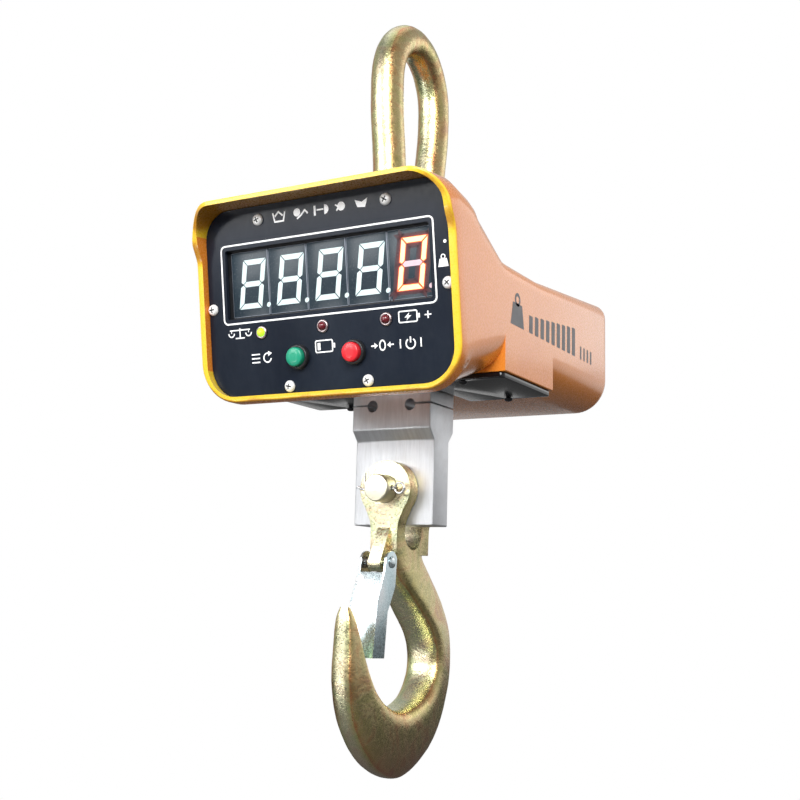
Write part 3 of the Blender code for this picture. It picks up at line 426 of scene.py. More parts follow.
def curve_piece(name, data, finish, matrix, sharp):
    """A curve made into a plain mesh."""
    guide = bpy.data.objects.new(name + "_guide", data)
    bpy.context.scene.collection.objects.link(guide)
    bpy.context.view_layer.update()
    mesh = bpy.data.meshes.new_from_object(guide.evaluated_get(bpy.context.evaluated_depsgraph_get()))
    bpy.data.objects.remove(guide, do_unlink=True)
    bm = bmesh.new()
    bm.from_mesh(mesh)
    bmesh.ops.remove_doubles(bm, verts=bm.verts, dist=WELD)
    bpy.data.meshes.remove(mesh)
    return from_bmesh(name, bm, finish, matrix, sharp)


def from_bmesh(name, bm, finishes, matrix=None, sharp=32):
    bm.normal_update()  # a moved mesh still has its old normals, and these decide which side is out
    bmesh.ops.recalc_face_normals(bm, faces=bm.faces)
    data = bpy.data.meshes.new(name)
    bm.to_mesh(data)
    bm.free()
    made = add_piece(name, data, finishes, matrix)
    shade(made, sharp)
    return made


def shade(piece, sharp=32):
    piece.data.shade_smooth()
    piece.data.set_sharp_from_angle(angle=radians(sharp))


def settle(piece, body, nodes):
    """Ride on a body and stand for CAD nodes."""
    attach(piece, body)
    if nodes:
        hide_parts(*nodes)
    return piece


def apply_all(piece, sharp=32):
    """Make a piece's modifiers final and delete the objects that cut it."""
    tools = [change.object for change in piece.modifiers if change.type == "BOOLEAN"]
    bpy.context.view_layer.update()
    evaluated = piece.evaluated_get(bpy.context.evaluated_depsgraph_get())
    data = bpy.data.meshes.new_from_object(evaluated)
    piece.modifiers.clear()
    piece.data = data
    for tool in tools:
        bpy.data.objects.remove(tool, do_unlink=True)
    shade(piece, sharp)
    return piece


def round_edges(piece, width, segments=3, angle=38):
    edge = piece.modifiers.new("edges", "BEVEL")
    edge.width = width
    edge.segments = segments
    edge.limit_method = "ANGLE"
    edge.angle_limit = radians(angle)
    edge.harden_normals = False
    return piece


def boolean(target, tool, operation="DIFFERENCE"):
    change = target.modifiers.new(tool.name, "BOOLEAN")
    change.operation = operation
    change.solver = "EXACT"
    change.object = tool
    tool.hide_render = True
    tool.hide_viewport = False
    return target


def aim(start, direction):
    """A frame at start whose Z axis points along direction."""
    turn = Vector(direction).to_track_quat("Z", "Y").to_matrix().to_4x4()
    return Matrix.Translation(start) @ turn


def block(name, low, high, finish=None, matrix=None):
    bm = bmesh.new()
    bmesh.ops.create_cube(bm, size=1.0)
    bmesh.ops.scale(bm, vec=Vector(high) - Vector(low), verts=bm.verts)
    bmesh.ops.translate(bm, vec=(Vector(high) + Vector(low)) / 2, verts=bm.verts)
    return from_bmesh(name, bm, finish or BLACK, matrix)


def rod(name, radius, start, end, finish=None, segments=64, matrix=None):
    span = Vector(end) - Vector(start)
    bm = bmesh.new()
    bmesh.ops.create_cone(bm, cap_ends=True, segments=segments, radius1=radius, radius2=radius,
                          depth=span.length)
    bm.transform(aim((Vector(start) + Vector(end)) / 2, span))
    return from_bmesh(name, bm, finish or BLACK, matrix)


def turned(name, profile, matrix, finishes, steps=64, sharp=32):
    """Spin a profile of (radius, height) about Z; radius 0 closes an end."""
    bm = bmesh.new()
    rows = []
    for radius, height in profile:
        if radius < 1e-6:
            rows.append([bm.verts.new((0, 0, height))])
        else:
            rows.append([bm.verts.new((radius * cos(2 * pi * i / steps),
                                       radius * sin(2 * pi * i / steps), height))
                         for i in range(steps)])
    for near, far in zip(rows, rows[1:]):
        for i in range(steps):
            j = (i + 1) % steps
            if len(near) == 1:
                bm.faces.new((near[0], far[j], far[i]))
            elif len(far) == 1:
                bm.faces.new((near[i], near[j], far[0]))
            else:
                bm.faces.new((near[i], near[j], far[j], far[i]))
    return from_bmesh(name, bm, finishes, matrix, sharp)


def soften(profile, radius, steps=3):
    """Round the corners of a (radius, height) profile, apart from its two ends."""
    points = [Vector(point) for point in profile]
    made = [points[0]]
    for before, here, after in zip(points, points[1:], points[2:]):
        back = before - here
        ahead = after - here
        reach = min(radius, back.length * 0.45, ahead.length * 0.45)
        start = here + back.normalized() * reach
        end = here + ahead.normalized() * reach
        for i in range(steps + 1):
            t = i / steps
            made.append(start * (1 - t) ** 2 + here * 2 * t * (1 - t) + end * t ** 2)
    made.append(points[-1])
    return [tuple(point) for point in made]


def tube(name, points, radius, finish, thickness=None, resolution=6, matrix=None):
    """A round bar along points, as a mesh; thickness scales its radius at each point."""
    data = bpy.data.curves.new(name, "CURVE")
    data.dimensions = "3D"
    data.bevel_depth = radius
    data.bevel_resolution = resolution
    data.use_fill_caps = True
    spline = data.splines.new("POLY")
    spline.points.add(len(points) - 1)
    for index, point in enumerate(points):
        spline.points[index].co = (*point, 1.0)
        spline.points[index].radius = 1.0 if thickness is None else thickness[index]
    return curve_piece(name, data, finish, matrix, 40)


def plate(name, outlines, thickness, finish, matrix=None, edge=0.0):
    """A flat piece of closed 2-D outlines, the first its edge and the rest holes."""
    data = bpy.data.curves.new(name, "CURVE")
    data.dimensions = "2D"
    data.fill_mode = "BOTH"
    data.extrude = thickness / 2 - edge
    data.bevel_depth = edge
    data.bevel_resolution = 2
    data.offset = -edge
    for outline in outlines:
        spline = data.splines.new("POLY")
        spline.points.add(len(outline) - 1)
        spline.use_cyclic_u = True
        for index, (across, along) in enumerate(outline):
            spline.points[index].co = (across, along, 0.0, 1.0)
    return curve_piece(name, data, finish, matrix, 30)


def arc(centre, radius, first, last, steps):
    """Points of an arc in the plane, angles in degrees."""
    turn = [radians(first + (last - first) * i / steps) for i in range(steps + 1)]
    return [(centre[0] + radius * cos(a), centre[1] + radius * sin(a)) for a in turn]


def circle(centre, radius, steps=48):
    return arc(centre, radius, 0, 360 - 360 / steps, steps - 1)


def rounded(left, right, low, high, low_radius, high_radius, steps=12):
    """A rectangle with rounded corners, anticlockwise from its lower right corner."""
    return (arc((right - low_radius, low + low_radius), low_radius, -90, 0, steps)
            + arc((right - high_radius, high - high_radius), high_radius, 0, 90, steps)
            + arc((left + high_radius, high - high_radius), high_radius, 90, 180, steps)
            + arc((left + low_radius, low + low_radius), low_radius, 180, 270, steps))


def loft(name, rings, finishes, cap=True, sharp=32):
    """A skin over rings that all have the same number of points."""
    bm = bmesh.new()
    rows = [[bm.verts.new(point) for point in ring] for ring in rings]
    count = len(rows[0])
    for near, far in zip(rows, rows[1:]):
        for i in range(count):
            j = (i + 1) % count
            bm.faces.new((near[i], near[j], far[j], far[i]))
    if cap:
        bm.faces.new(rows[0])
        bm.faces.new(rows[-1])
    return from_bmesh(name, bm, finishes, None, sharp)


def flat_piece(bm, outline, low, high):
    """Add a closed prism over a 2-D outline between two heights."""
    below = [bm.verts.new((x, y, low)) for x, y in outline]
    above = [bm.verts.new((x, y, high)) for x, y in outline]
    bm.faces.new(below[::-1])
    bm.faces.new(above)
    count = len(outline)
    for i in range(count):
        j = (i + 1) % count
        bm.faces.new((below[i], below[j], above[j], above[i]))


def ribbon(bm, points, width, low, high, closed=False):
    """Add a flat stroke of constant width along 2-D points."""
    path = [Vector(point) for point in points]
    count = len(path)
    left, right = [], []
    for i, point in enumerate(path):
        before = path[i - 1] if (closed or i > 0) else point
        after = path[(i + 1) % count] if (closed or i < count - 1) else point
        near = (point - before).normalized() if point != before else (after - point).normalized()
        far = (after - point).normalized() if after != point else near
        bend = near + far
        bend = bend.normalized() if bend.length > 1e-6 else near
        across = Vector((-bend.y, bend.x))
        reach = width / 2 / max(0.35, across.dot(Vector((-near.y, near.x))))
        left.append(point + across * reach)
        right.append(point - across * reach)
    rows = [[bm.verts.new((p.x, p.y, z)) for p in side] for side, z in
            ((left, low), (left, high), (right, high), (right, low))]
    last = count if closed else count - 1
    for i in range(last):
        j = (i + 1) % count
        for near, far in zip(rows, rows[1:] + rows[:1]):
            bm.faces.new((near[i], near[j], far[j], far[i]))
    if not closed:
        bm.faces.new([row[0] for row in rows])
        bm.faces.new([row[-1] for row in rows][::-1])


# ---- camera, floor and light -------------------------------------------------------------
CAMERA_PLACE = (0.35686, -0.63738, -0.3542)
CAMERA_TURN = (29.43, 9.24, 1.5)            # yaw, pitch and roll in degrees
CAMERA_LENS = 51.23
FLOOR_DROP = 0.50


def make_camera():
    yaw, pitch, roll = (radians(angle) for angle in CAMERA_TURN)
    forward = Vector((-sin(yaw) * cos(pitch), cos(yaw) * cos(pitch), sin(pitch)))
    right = Vector((cos(yaw), sin(yaw), 0.0))
    up = right.cross(forward)
    turned_right = right * cos(roll) + up * sin(roll)
    turned_up = up * cos(roll) - right * sin(roll)
    data = bpy.data.cameras.new("camera")
    data.lens = CAMERA_LENS
    data.sensor_width = 36
    data.clip_end = 50
    camera = bpy.data.objects.new("camera", data)
    bpy.context.scene.collection.objects.link(camera)
    turn = Matrix((turned_right, turned_up, -forward)).transposed().to_4x4()
    camera.matrix_world = Matrix.Translation(CAMERA_PLACE) @ turn
    bpy.context.scene.camera = camera


def area_light(name, location, target, width, height, power):
    data = bpy.data.lights.new(name, "AREA")
    data.shape = "RECTANGLE"
    data.size = width
    data.size_y = height
    data.energy = power
    made = bpy.data.objects.new(name, data)
    bpy.context.scene.collection.objects.link(made)
    made.location = location
    made.rotation_euler = (Vector(target) - Vector(location)).to_track_quat("-Z", "Y").to_euler()
    return made


def split_for_camera(tree, lighting, seen, output):
    """One shader for the light that reaches things, another for what the camera sees."""
    path = tree.nodes.new("ShaderNodeLightPath")
    mix = tree.nodes.new("ShaderNodeMixShader")
    link(tree, path, "Is Camera Ray", mix, 0)
    link(tree, lighting, 0, mix, 1)
    link(tree, seen, 0, mix, 2)
    link(tree, mix, 0, output, "Surface")


def make_world():
    """White for the camera; a studio with a darker front wall for reflections."""
    world = bpy.data.worlds.new("studio")
    bpy.context.scene.world = world
    world.use_nodes = True
    tree = world.node_tree
    tree.nodes.clear()
    output = tree.nodes.new("ShaderNodeOutputWorld")
    parts = axes_node(tree, "Generated")
    height = range_node(tree, parts, 0.0, 1.0, -1.0, 1.0, "Z")
    sky = ramp_node(tree, height, [(0.00, (0.12, 0.12, 0.12)), (0.40, (0.22, 0.22, 0.22)),
                                   (0.52, (0.90, 0.90, 0.90)), (0.72, (0.62, 0.62, 0.62)),
                                   (1.00, (0.40, 0.40, 0.40))])
    depth = range_node(tree, parts, 0.45, 1.0, -1.0, 1.0, "Y")
    studio = tree.nodes.new("ShaderNodeBackground")
    link(tree, sky, 0, studio, "Color")
    link(tree, depth, 0, studio, "Strength")
    plain = tree.nodes.new("ShaderNodeBackground")
    plain.inputs["Color"].default_value = (1, 1, 1, 1)
    plain.inputs["Strength"].default_value = 1.0
    split_for_camera(tree, studio, plain, output)


def pale_floor():
    """Near white to the camera, and a mid grey to the light that it throws back."""
    made = surface("floor", [(0.30, (0.14, 0.14, 0.14)), (0.70, (0.17, 0.17, 0.17))], 2,
                   (0.85, 0.95), (30, 0.02, 0.001))
    tree = made.node_tree
    white = tree.nodes.new("ShaderNodeEmission")
    white.inputs["Color"].default_value = (1, 1, 1, 1)
    split_for_camera(tree, tree.nodes["Principled BSDF"], white, tree.nodes["Material Output"])
    return made


def make_stage():
    bpy.context.scene.view_settings.view_transform = "Standard"
    floor_finish = pale_floor()
    bm = bmesh.new()
    bmesh.ops.create_circle(bm, cap_ends=True, segments=96, radius=9.0)
    floor = from_bmesh("floor", bm, floor_finish, Matrix.Translation((0, 0, CAD_LOW.z - FLOOR_DROP)))
    middle = (0, 0, lift(0.05))
    area_light("key", (0.85, -1.75, 0.65), middle, 1.1, 1.1, 46)
    area_light("front_softbox", (-0.95, -1.75, 0.42), (0, 0, 0.10), 1.2, 1.0, 20)
    area_light("side_sheen", (1.35, 2.2, 0.75), (0, 0, 0.10), 1.8, 1.0, 6)
    area_light("low_strip", (-0.9, -1.5, -0.85), middle, 0.9, 0.2, 4)
    area_light("top", (-0.2, 0.3, 1.5), middle, 1.2, 1.2, 4)


make_camera()
make_world()
make_stage()


# ---- housing -----------------------------------------------------------------------------
FLOOR = 0.066
BEZEL_LOW = HOUSING_LOW.z - HOOK_PIN.z
BEZEL_HIGH = HOUSING_HIGH.z - HOOK_PIN.z
RIM_DEPTH = 0.0045
VISOR_DEPTH = 0.0195
VISOR_START = 0.132
VISOR_SHARE = 0.30
CORNER_RADIUS = 0.0210
COMPARTMENT_FRONT = -0.039
COMPARTMENT_REAR = 0.0355


def ease(value):
    """A smooth step from 0 to 1."""
    value = min(max(value, 0.0), 1.0)
    return value * value * (3 - 2 * value)


def forward_of_panel(x, height, depth_at_sides, depth_at_top):
    """Distance in front of the panel plane: small along the sides, deep at the visor."""
    corner = BEZEL_HIGH - CORNER_RADIUS
    beyond = max(abs(x) - (HALF_WIDTH - CORNER_RADIUS), 0.0)
    above = max(height - corner, 0.0)
    share = VISOR_SHARE * ease((height - VISOR_START) / (corner - VISOR_START))
    if above > 0.0:
        share += (1 - VISOR_SHARE) * ease(atan2(above, beyond) / (pi / 2))
    return depth_at_sides + (depth_at_top - depth_at_sides) * share


def ring(half, low, high, low_radius, high_radius, depth):
    """A section of the housing. depth(x, height) gives the y of a point."""
    corner = 12
    shape = rounded(-half, half, low, high, low_radius, high_radius, corner)
    flat_low = low + low_radius
    flat = high - high_radius - flat_low
    extra = [flat_low + flat * part for part in (0.70, 0.74, 0.78, 0.82, 0.86, 0.90, 0.94, 0.97)]
    right = [(half, height) for height in extra]
    left = [(-half, height) for height in reversed(extra)]
    cut = corner + 1
    shape = shape[:cut] + right + shape[cut:3 * cut] + left + shape[3 * cut:]
    return [Vector((x, depth(x, height), lift(height))) for x, height in shape]


def on_panel(behind=0.0, sides=0.0, top=0.0):
    """The depth function of a ring that follows the leaning panel plane."""
    def depth(x, height):
        plane = PANEL_Y - (height - PANEL_HEIGHT) * tan(TILT)
        return plane + behind - forward_of_panel(x, height, sides, top)
    return depth


def level(y):
    """The depth function of an upright ring."""
    return lambda x, height: y


def rear_turn(side, low, high, low_radius, high_radius, rear):
    """Rings that round the tail off into its rear face."""
    reach = 0.0135
    rings = []
    for angle in (0, 12, 24, 36, 48, 60, 70, 80, 90):
        inward = 1 - cos(radians(angle))
        y = rear - reach + reach * sin(radians(angle))
        rings.append(ring(side - 0.0125 * inward, low + 0.0120 * inward, high - 0.0070 * inward,
                          low_radius, high_radius, level(y)))
    return rings


def housing_outside():
    half = HALF_WIDTH
    rim = dict(sides=RIM_DEPTH, top=VISOR_DEPTH)
    top = BEZEL_HIGH - 0.0026
    rings = [ring(half - 0.0070, BEZEL_LOW + 0.0070, top - 0.0070, 0.0185, 0.0160,
                  on_panel(0.0, **rim))]
    for angle in (90, 65, 40, 20, 0):
        turn = radians(angle)
        inward = 0.0014 * (1 - cos(turn))
        behind = 0.0014 * (1 - sin(turn))
        rings.append(ring(half - inward, BEZEL_LOW + inward, top - inward, 0.0250 - inward,
                          CORNER_RADIUS - inward, on_panel(behind, **rim)))
    rings += [
        ring(half, BEZEL_LOW, BEZEL_HIGH, 0.0250, CORNER_RADIUS, on_panel(0.0040)),
        ring(half, 0.0500, 0.1640, 0.0250, 0.0205, level(-0.0840)),
        ring(half, 0.0515, 0.1618, 0.0250, 0.0198, level(-0.0790)),
        ring(half, 0.0530, 0.1575, 0.0250, 0.0190, level(-0.0750)),
        ring(half, 0.0640, 0.1395, 0.0230, 0.0145, level(-0.0445)),
        ring(half, FLOOR, 0.1362, 0.0225, 0.0128, level(COMPARTMENT_FRONT - 0.0001)),
        ring(half, FLOOR, 0.1362, 0.0008, 0.0128, level(COMPARTMENT_FRONT)),
        ring(half, FLOOR, 0.1350, 0.0008, 0.0118, level(-0.0320)),
        ring(half, FLOOR, 0.1352, 0.0008, 0.0108, level(0.0180)),
        ring(half, FLOOR, 0.1368, 0.0008, 0.0106, level(COMPARTMENT_REAR)),
        ring(half, FLOOR, 0.1368, 0.0225, 0.0106, level(COMPARTMENT_REAR + 0.0001)),
    ]
    return rings + rear_turn(half, FLOOR + 0.0010, 0.1460, 0.0225, 0.0105, REAR)


def housing_inside():
    half = HALF_WIDTH
    front = half - 0.0045
    low = BEZEL_LOW + 0.0034
    ledge = half - 0.0115
    ledge_low = BEZEL_LOW + 0.0111
    ledge_high = BEZEL_HIGH - 0.0152
    wall = half - WALL
    deep = FLOOR + WALL
    rings = [
        ring(front, low, BEZEL_HIGH - 0.0070, 0.0197, 0.0172, on_panel(-0.0300)),
        ring(front, low, BEZEL_HIGH - 0.0029, 0.0197, 0.0172, on_panel(0.0)),
        ring(front, low, BEZEL_HIGH - 0.0022, 0.0197, 0.0172, on_panel(0.0040)),
        ring(ledge, ledge_low, ledge_high, 0.0140, 0.0120, on_panel(0.0040)),
        ring(ledge, ledge_low, ledge_high, 0.0140, 0.0120, on_panel(0.0100)),
        ring(wall, BEZEL_LOW + 0.0047, BEZEL_HIGH - 0.0056, 0.0218, 0.0176, on_panel(0.0100)),
        ring(wall, 0.0553, 0.1586, 0.0218, 0.0172, level(-0.0790)),
        ring(wall, 0.0570, 0.1537, 0.0218, 0.0158, level(-0.0745)),
        ring(wall, 0.0680, 0.1355, 0.0198, 0.0113, level(-0.0434)),
        ring(wall, deep, 0.1327, 0.0193, 0.0096, level(COMPARTMENT_FRONT + 0.0031)),
        ring(wall, deep, 0.1317, 0.0012, 0.0086, level(COMPARTMENT_FRONT + WALL)),
        ring(wall, deep, 0.1319, 0.0012, 0.0076, level(0.0180)),
        ring(wall, deep, 0.1333, 0.0012, 0.0074, level(COMPARTMENT_REAR - WALL)),
        ring(wall, deep, 0.1335, 0.0193, 0.0074, level(COMPARTMENT_REAR - 0.0031)),
    ]
    return rings + rear_turn(wall, deep + 0.0012, 0.1426, 0.0193, 0.0073, REAR - WALL)


def build_housing():
    housing = loft("painted_housing", housing_outside(), [ORANGE, RIM_YELLOW_PAINTED_SHADE], True, 26)
    hollow = loft("housing_hollow", housing_inside(), [ORANGE])
    boolean(housing, hollow)
    boolean(housing, block("floor_opening", (-0.0335, -0.0215, lift(0.055)),
                           (0.0335, 0.0215, lift(0.075))))
    boolean(housing, block("top_opening", (-0.0360, -0.0375, lift(0.125)),
                           (0.0360, 0.0345, lift(0.160))))
    for side in (-1, 1):
        edges = sorted((side * 0.0380, side * 0.0820))
        boolean(housing, block("battery_opening", (edges[0], -0.0318, lift(0.058)),
                               (edges[1], 0.0287, lift(0.072))))
    low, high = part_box("charge_socket")
    middle = (low + high) / 2
    boolean(housing, rod("socket_hole", 0.0064, (middle.x, REAR - 0.013, middle.z),
                         (middle.x, REAR + 0.007, middle.z)))
    apply_all(housing, 26)
    paint_rim(housing)
    settle(housing, "scale", ["housing"])


def paint_rim(housing):
    """The front edge of the bezel and the pocket around the panel are yellow; the rim material paints shade
    brown on their down-facing faces.
    """
    inside = HALF_WIDTH - 0.0047
    panel = PANEL.inverted()
    for face in housing.data.polygons:
        local = panel @ face.center
        normal = panel.to_3x3() @ face.normal
        front = normal.z > 0.30 and local.z > RIM_DEPTH - 0.0022
        in_pocket = -0.0045 < local.z < VISOR_DEPTH + 0.002 and abs(local.x) < inside
        outward = Vector((local.x, local.y - PANEL_MIDDLE_V, 0)).dot(Vector((normal.x, normal.y, 0)))
        if front or (in_pocket and normal.z < 0.6 and outward < 0):
            face.material_index = 1


build_housing()


# ---- front panel: print, screws, lamps, buttons and digits ---------------------------------
PRINT_LOW = 0.00002
PRINT_HIGH = 0.00009


def printed(name, draw, matrix, finish):
    """A thin printed mark; draw(bm) adds its strokes in millimetres."""
    bm = bmesh.new()
    draw(bm)
    bmesh.ops.scale(bm, vec=(MM, MM, 1.0), verts=bm.verts)
    made = from_bmesh(name, bm, finish, matrix)
    return settle(made, "scale", [])


def stroke(bm, points, width=0.75, closed=False):
    ribbon(bm, points, width, PRINT_LOW, PRINT_HIGH, closed)


def blob(bm, outline):
    flat_piece(bm, outline, PRINT_LOW, PRINT_HIGH)


def draw_frame_line(bm):
    stroke(bm, rounded(-73.3, 73.3, -9.3, 38.6, 3.0, 3.0, 10), 1.0, True)


def draw_balance(bm):
    u, v = -62.0, -15.3
    stroke(bm, [(u - 7.5, v + 2.0), (u + 7.5, v + 2.0)])
    stroke(bm, [(u, v + 3.2), (u, v - 2.9)])
    stroke(bm, [(u - 3.4, v - 2.9), (u + 3.4, v - 2.9)])
    for side in (-1, 1):
        stroke(bm, arc((u + side * 6.4, v + 0.2), 2.1, 180, 360, 12))
        stroke(bm, [(u + side * 6.4, v + 2.0), (u + side * 6.4, v + 0.2)], 0.5)


def draw_recall(bm):
    u, v = -42.5, -31.5
    stroke(bm, arc((u, v), 2.7, 60, 350, 24), 0.8)
    blob(bm, [(u + 0.6, v + 4.0), (u + 0.6, v + 0.8), (u + 3.4, v + 2.6)])
    for row in range(3):
        y = v - 2.4 + 2.4 * row
        stroke(bm, [(u - 11.5, y), (u - 5.5, y)], 0.8)


def draw_low_battery(bm):
    u, v = -1.3, -27.8
    stroke(bm, rounded(u - 6.4, u + 5.2, v - 3.4, v + 3.4, 0.8, 0.8, 4), 0.75, True)
    blob(bm, [(u + 5.9, v - 1.4), (u + 7.0, v - 1.4), (u + 7.0, v + 1.4), (u + 5.9, v + 1.4)])
    blob(bm, [(u - 5.1, v - 2.1), (u - 3.1, v - 2.1), (u - 3.1, v + 2.1), (u - 5.1, v + 2.1)])


def draw_charge(bm):
    u, v = 56.0, -15.6
    stroke(bm, rounded(u - 7.2, u + 4.4, v - 3.1, v + 3.1, 0.8, 0.8, 4), 0.75, True)
    blob(bm, [(u + 5.1, v - 1.3), (u + 6.2, v - 1.3), (u + 6.2, v + 1.3), (u + 5.1, v + 1.3)])
    blob(bm, [(u - 0.4, v + 2.2), (u - 3.6, v - 0.5), (u - 1.5, v - 0.5)])
    blob(bm, [(u - 2.4, v - 2.2), (u + 0.8, v + 0.5), (u - 1.3, v + 0.5)])
    stroke(bm, [(u + 9.2, v), (u + 13.4, v)])
    stroke(bm, [(u + 11.3, v - 2.1), (u + 11.3, v + 2.1)])


def draw_tare(bm):
    u, v = 37.3, -30.4
    stroke(bm, [(u + 1.8 * cos(radians(a)), v + 2.8 * sin(radians(a))) for a in range(0, 360, 20)],
           0.8, True)
    for side in (-1, 1):
        stroke(bm, [(u + side * 7.4, v), (u + side * 4.4, v)], 0.8)
        blob(bm, [(u + side * 3.0, v), (u + side * 5.2, v + 1.7), (u + side * 5.2, v - 1.7)][::side])


def draw_power(bm):
    u, v = 55.5, -30.5
    stroke(bm, arc((u, v - 0.3), 2.9, 125, 415, 28), 0.85)
    stroke(bm, [(u, v + 0.2), (u, v + 3.6)], 0.85)
    for side in (-1, 1):
        stroke(bm, [(u + side * 6.6, v - 2.6), (u + side * 6.6, v + 2.6)], 0.8)


def weight_outline(u, v, size):
    """A trapezoid weight with a narrow top."""
    return [(u - 0.50 * size, v - 0.45 * size), (u + 0.50 * size, v - 0.45 * size),
            (u + 0.34 * size, v + 0.25 * size), (u - 0.34 * size, v + 0.25 * size)]


def draw_unit(bm):
    u, v = 78.5, 12.6
    blob(bm, weight_outline(u, v, 6.4))
    stroke(bm, circle((u, v + 2.7), 1.2, 20), 0.6, True)
    blob(bm, circle((80.1, 23.6), 1.0, 24))


def draw_top_marks(bm):
    """Five small pictograms between the upper screws: box, hook, plug, disc and bottle."""
    v = 51.7
    stroke(bm, [(-33.5, v + 2.6), (-32.2, v - 2.8), (-26.0, v - 2.8), (-24.8, v + 2.6)], 1.0)
    stroke(bm, [(-32.0, v + 0.4), (-29.4, v + 3.0), (-26.4, v + 0.4)], 1.0)
    blob(bm, circle((-16.2, v + 0.8), 2.4, 20))
    stroke(bm, [(-16.2, v - 3.0), (-13.4, v - 1.2), (-10.6, v + 1.6), (-8.6, v - 0.6)], 1.0)
    stroke(bm, [(-3.6, v + 3.0), (-3.6, v - 2.8)], 1.3)
    stroke(bm, [(-2.2, v + 0.3), (2.4, v + 0.3)], 0.9)
    blob(bm, arc((3.0, v + 0.1), 2.9, -90, 90, 14))
    blob(bm, circle((14.6, v + 0.3), 2.6, 20))
    stroke(bm, [(10.6, v + 1.6), (12.8, v + 0.2), (11.4, v - 2.0)], 0.9)
    blob(bm, [(24.0, v + 2.4), (25.4, v - 1.8), (30.6, v - 2.4), (32.4, v + 2.8), (28.6, v + 0.8)])


def build_print():
    marks = {"display_frame_line": draw_frame_line, "balance_mark": draw_balance,
             "recall_mark": draw_recall, "low_battery_mark": draw_low_battery,
             "charge_mark": draw_charge, "tare_mark": draw_tare, "power_mark": draw_power,
             "unit_mark": draw_unit, "top_marks": draw_top_marks}
    for name, draw in marks.items():
        printed(name, draw, PANEL, PRINT)


def draw_side_marks(bm):
    """A weight pictogram and a rising row of bars, standing for the capacity."""
    base = 96.0
    u = -22.0
    blob(bm, weight_outline(u, base + 9.0, 20.0))
    stroke(bm, circle((u, base + 16.4), 3.2, 28), 1.9, True)
    for index in range(9):
        left = -4.0 + 9.2 * index
        height = 11.0 + 1.0 * index
        blob(bm, rounded(left, left + 5.6, base, base + height, 0.8, 0.8, 4))
    for index in range(4):
        left = 85.0 + 6.6 * index
        blob(bm, rounded(left, left + 2.6, base, base + 9.0, 0.6, 0.6, 3))


def build_side_marks():
    """Printed on both side walls, the same way up as the housing."""
    for side, name in ((1, "right"), (-1, "left")):
        turn = Matrix(((0, 0, side, 0), (side, 0, 0, 0), (0, 1, 0, 0), (0, 0, 0, 1)))
        shift = Matrix.Translation((side * HALF_WIDTH, 0.0 if side > 0 else 0.080, lift(0.0)))
        printed(f"{name}_side_marks", draw_side_marks, shift @ turn, GREY_PRINT)


def build_screw(node, start, direction, radius, height, shank, length, spin, finish):
    """A pan head with a cross recess, standing up from start along direction."""
    profile = [(0.0, height), (radius * 0.35, height * 0.985), (radius * 0.62, height * 0.90),
               (radius * 0.82, height * 0.70), (radius * 0.95, height * 0.38), (radius, height * 0.10),
               (radius, 0.0), (shank, 0.0), (shank, -length), (0.0, -length)]
    matrix = aim(start, direction) @ Matrix.Rotation(radians(spin), 4, "Z")
    screw = turned(node + "_fine", profile, matrix, [finish, RECESS_PAINTED_SHADE], 48, 40)
    arm = radius * 0.52
    slot = radius * 0.115
    depth = height * 0.40
    for across, along in ((arm, slot), (slot, arm)):
        tool = block("recess", (-across, -along, depth), (across, along, height * 2), RECESS_PAINTED_SHADE, matrix)
        boolean(screw, tool)
    apply_all(screw, 40)
    return settle(screw, "scale", [node])


def build_panel_screws():
    for index in range(6):
        u, v = on_face(f"panel_screw_{index + 1}")
        start = PANEL @ Vector((u, v, GAP))
        build_screw(f"panel_screw_{index + 1}", start, -PRESS, 0.0035, 0.0021, 0.0015, 0.0068,
                    20 + 37 * index, BRIGHT_SCREW_PAINTED_HIGHLIGHT)


LENS_RADIUS = 0.0025


def build_lamps():
    for name in ("steady", "low_battery", "charge"):
        u, v = on_face(f"{name}_lamp_ring")
        frame_here = PANEL @ Matrix.Translation((u, v, 0.0))
        radius = LENS_RADIUS
        dome = [(radius * cos(radians(a)), 0.0010 + radius * sin(radians(a))) for a in range(90, -1, -9)]
        dome[0] = (0.0, dome[0][1])
        lens = turned(f"{name}_lens", dome + [(radius, -0.0065), (0.0, -0.0065)], frame_here,
                      GREEN_LENS if name == "steady" else RED_LENS, 40)
        settle(lens, "scale", [f"{name}_lamp"])
        collar = soften([(0.00275, -0.0040), (0.00275, 0.0014), (0.0034, 0.0014), (0.0039, 0.0008),
                         (0.0039, GAP), (0.0029, GAP), (0.0029, -0.0040)], 0.0003)
        bezel = turned(f"{name}_bezel", collar + [collar[0]], frame_here, RING_STEEL, 48)
        settle(bezel, "scale", [f"{name}_lamp_ring"])


def build_buttons():
    for name in ("recall", "tare"):
        u, v = on_face(f"{name}_button")
        frame_here = PANEL @ Matrix.Translation((u, v, 0.0))
        cap = soften([(0.0, 0.0072), (0.0030, 0.0072), (0.0056, 0.0064), (0.0056, 0.0012),
                      (0.0026, 0.0012), (0.0026, -0.0050), (0.0, -0.0050)], 0.0009, 5)
        finish = GREEN if name == "recall" else RED
        made = turned(f"{name}_cap", cap, frame_here, finish, 56)
        settle(made, f"{name}_button", [f"{name}_button"])
        body = [(0.0, -0.0070), (0.0030, -0.0070), (0.0030, -0.0012), (0.0059, -0.0012), (0.0059, 0.0036),
                (0.0068, 0.0034), (0.0073, 0.0026), (0.0074, GAP), (0.0060, GAP), (0.0060, -0.0150),
                (0.0, -0.0150)]
        collar = turned(f"{name}_collar", soften(body, 0.0003), frame_here, BLACK, 56)
        settle(collar, "scale", [f"{name}_button_body"])


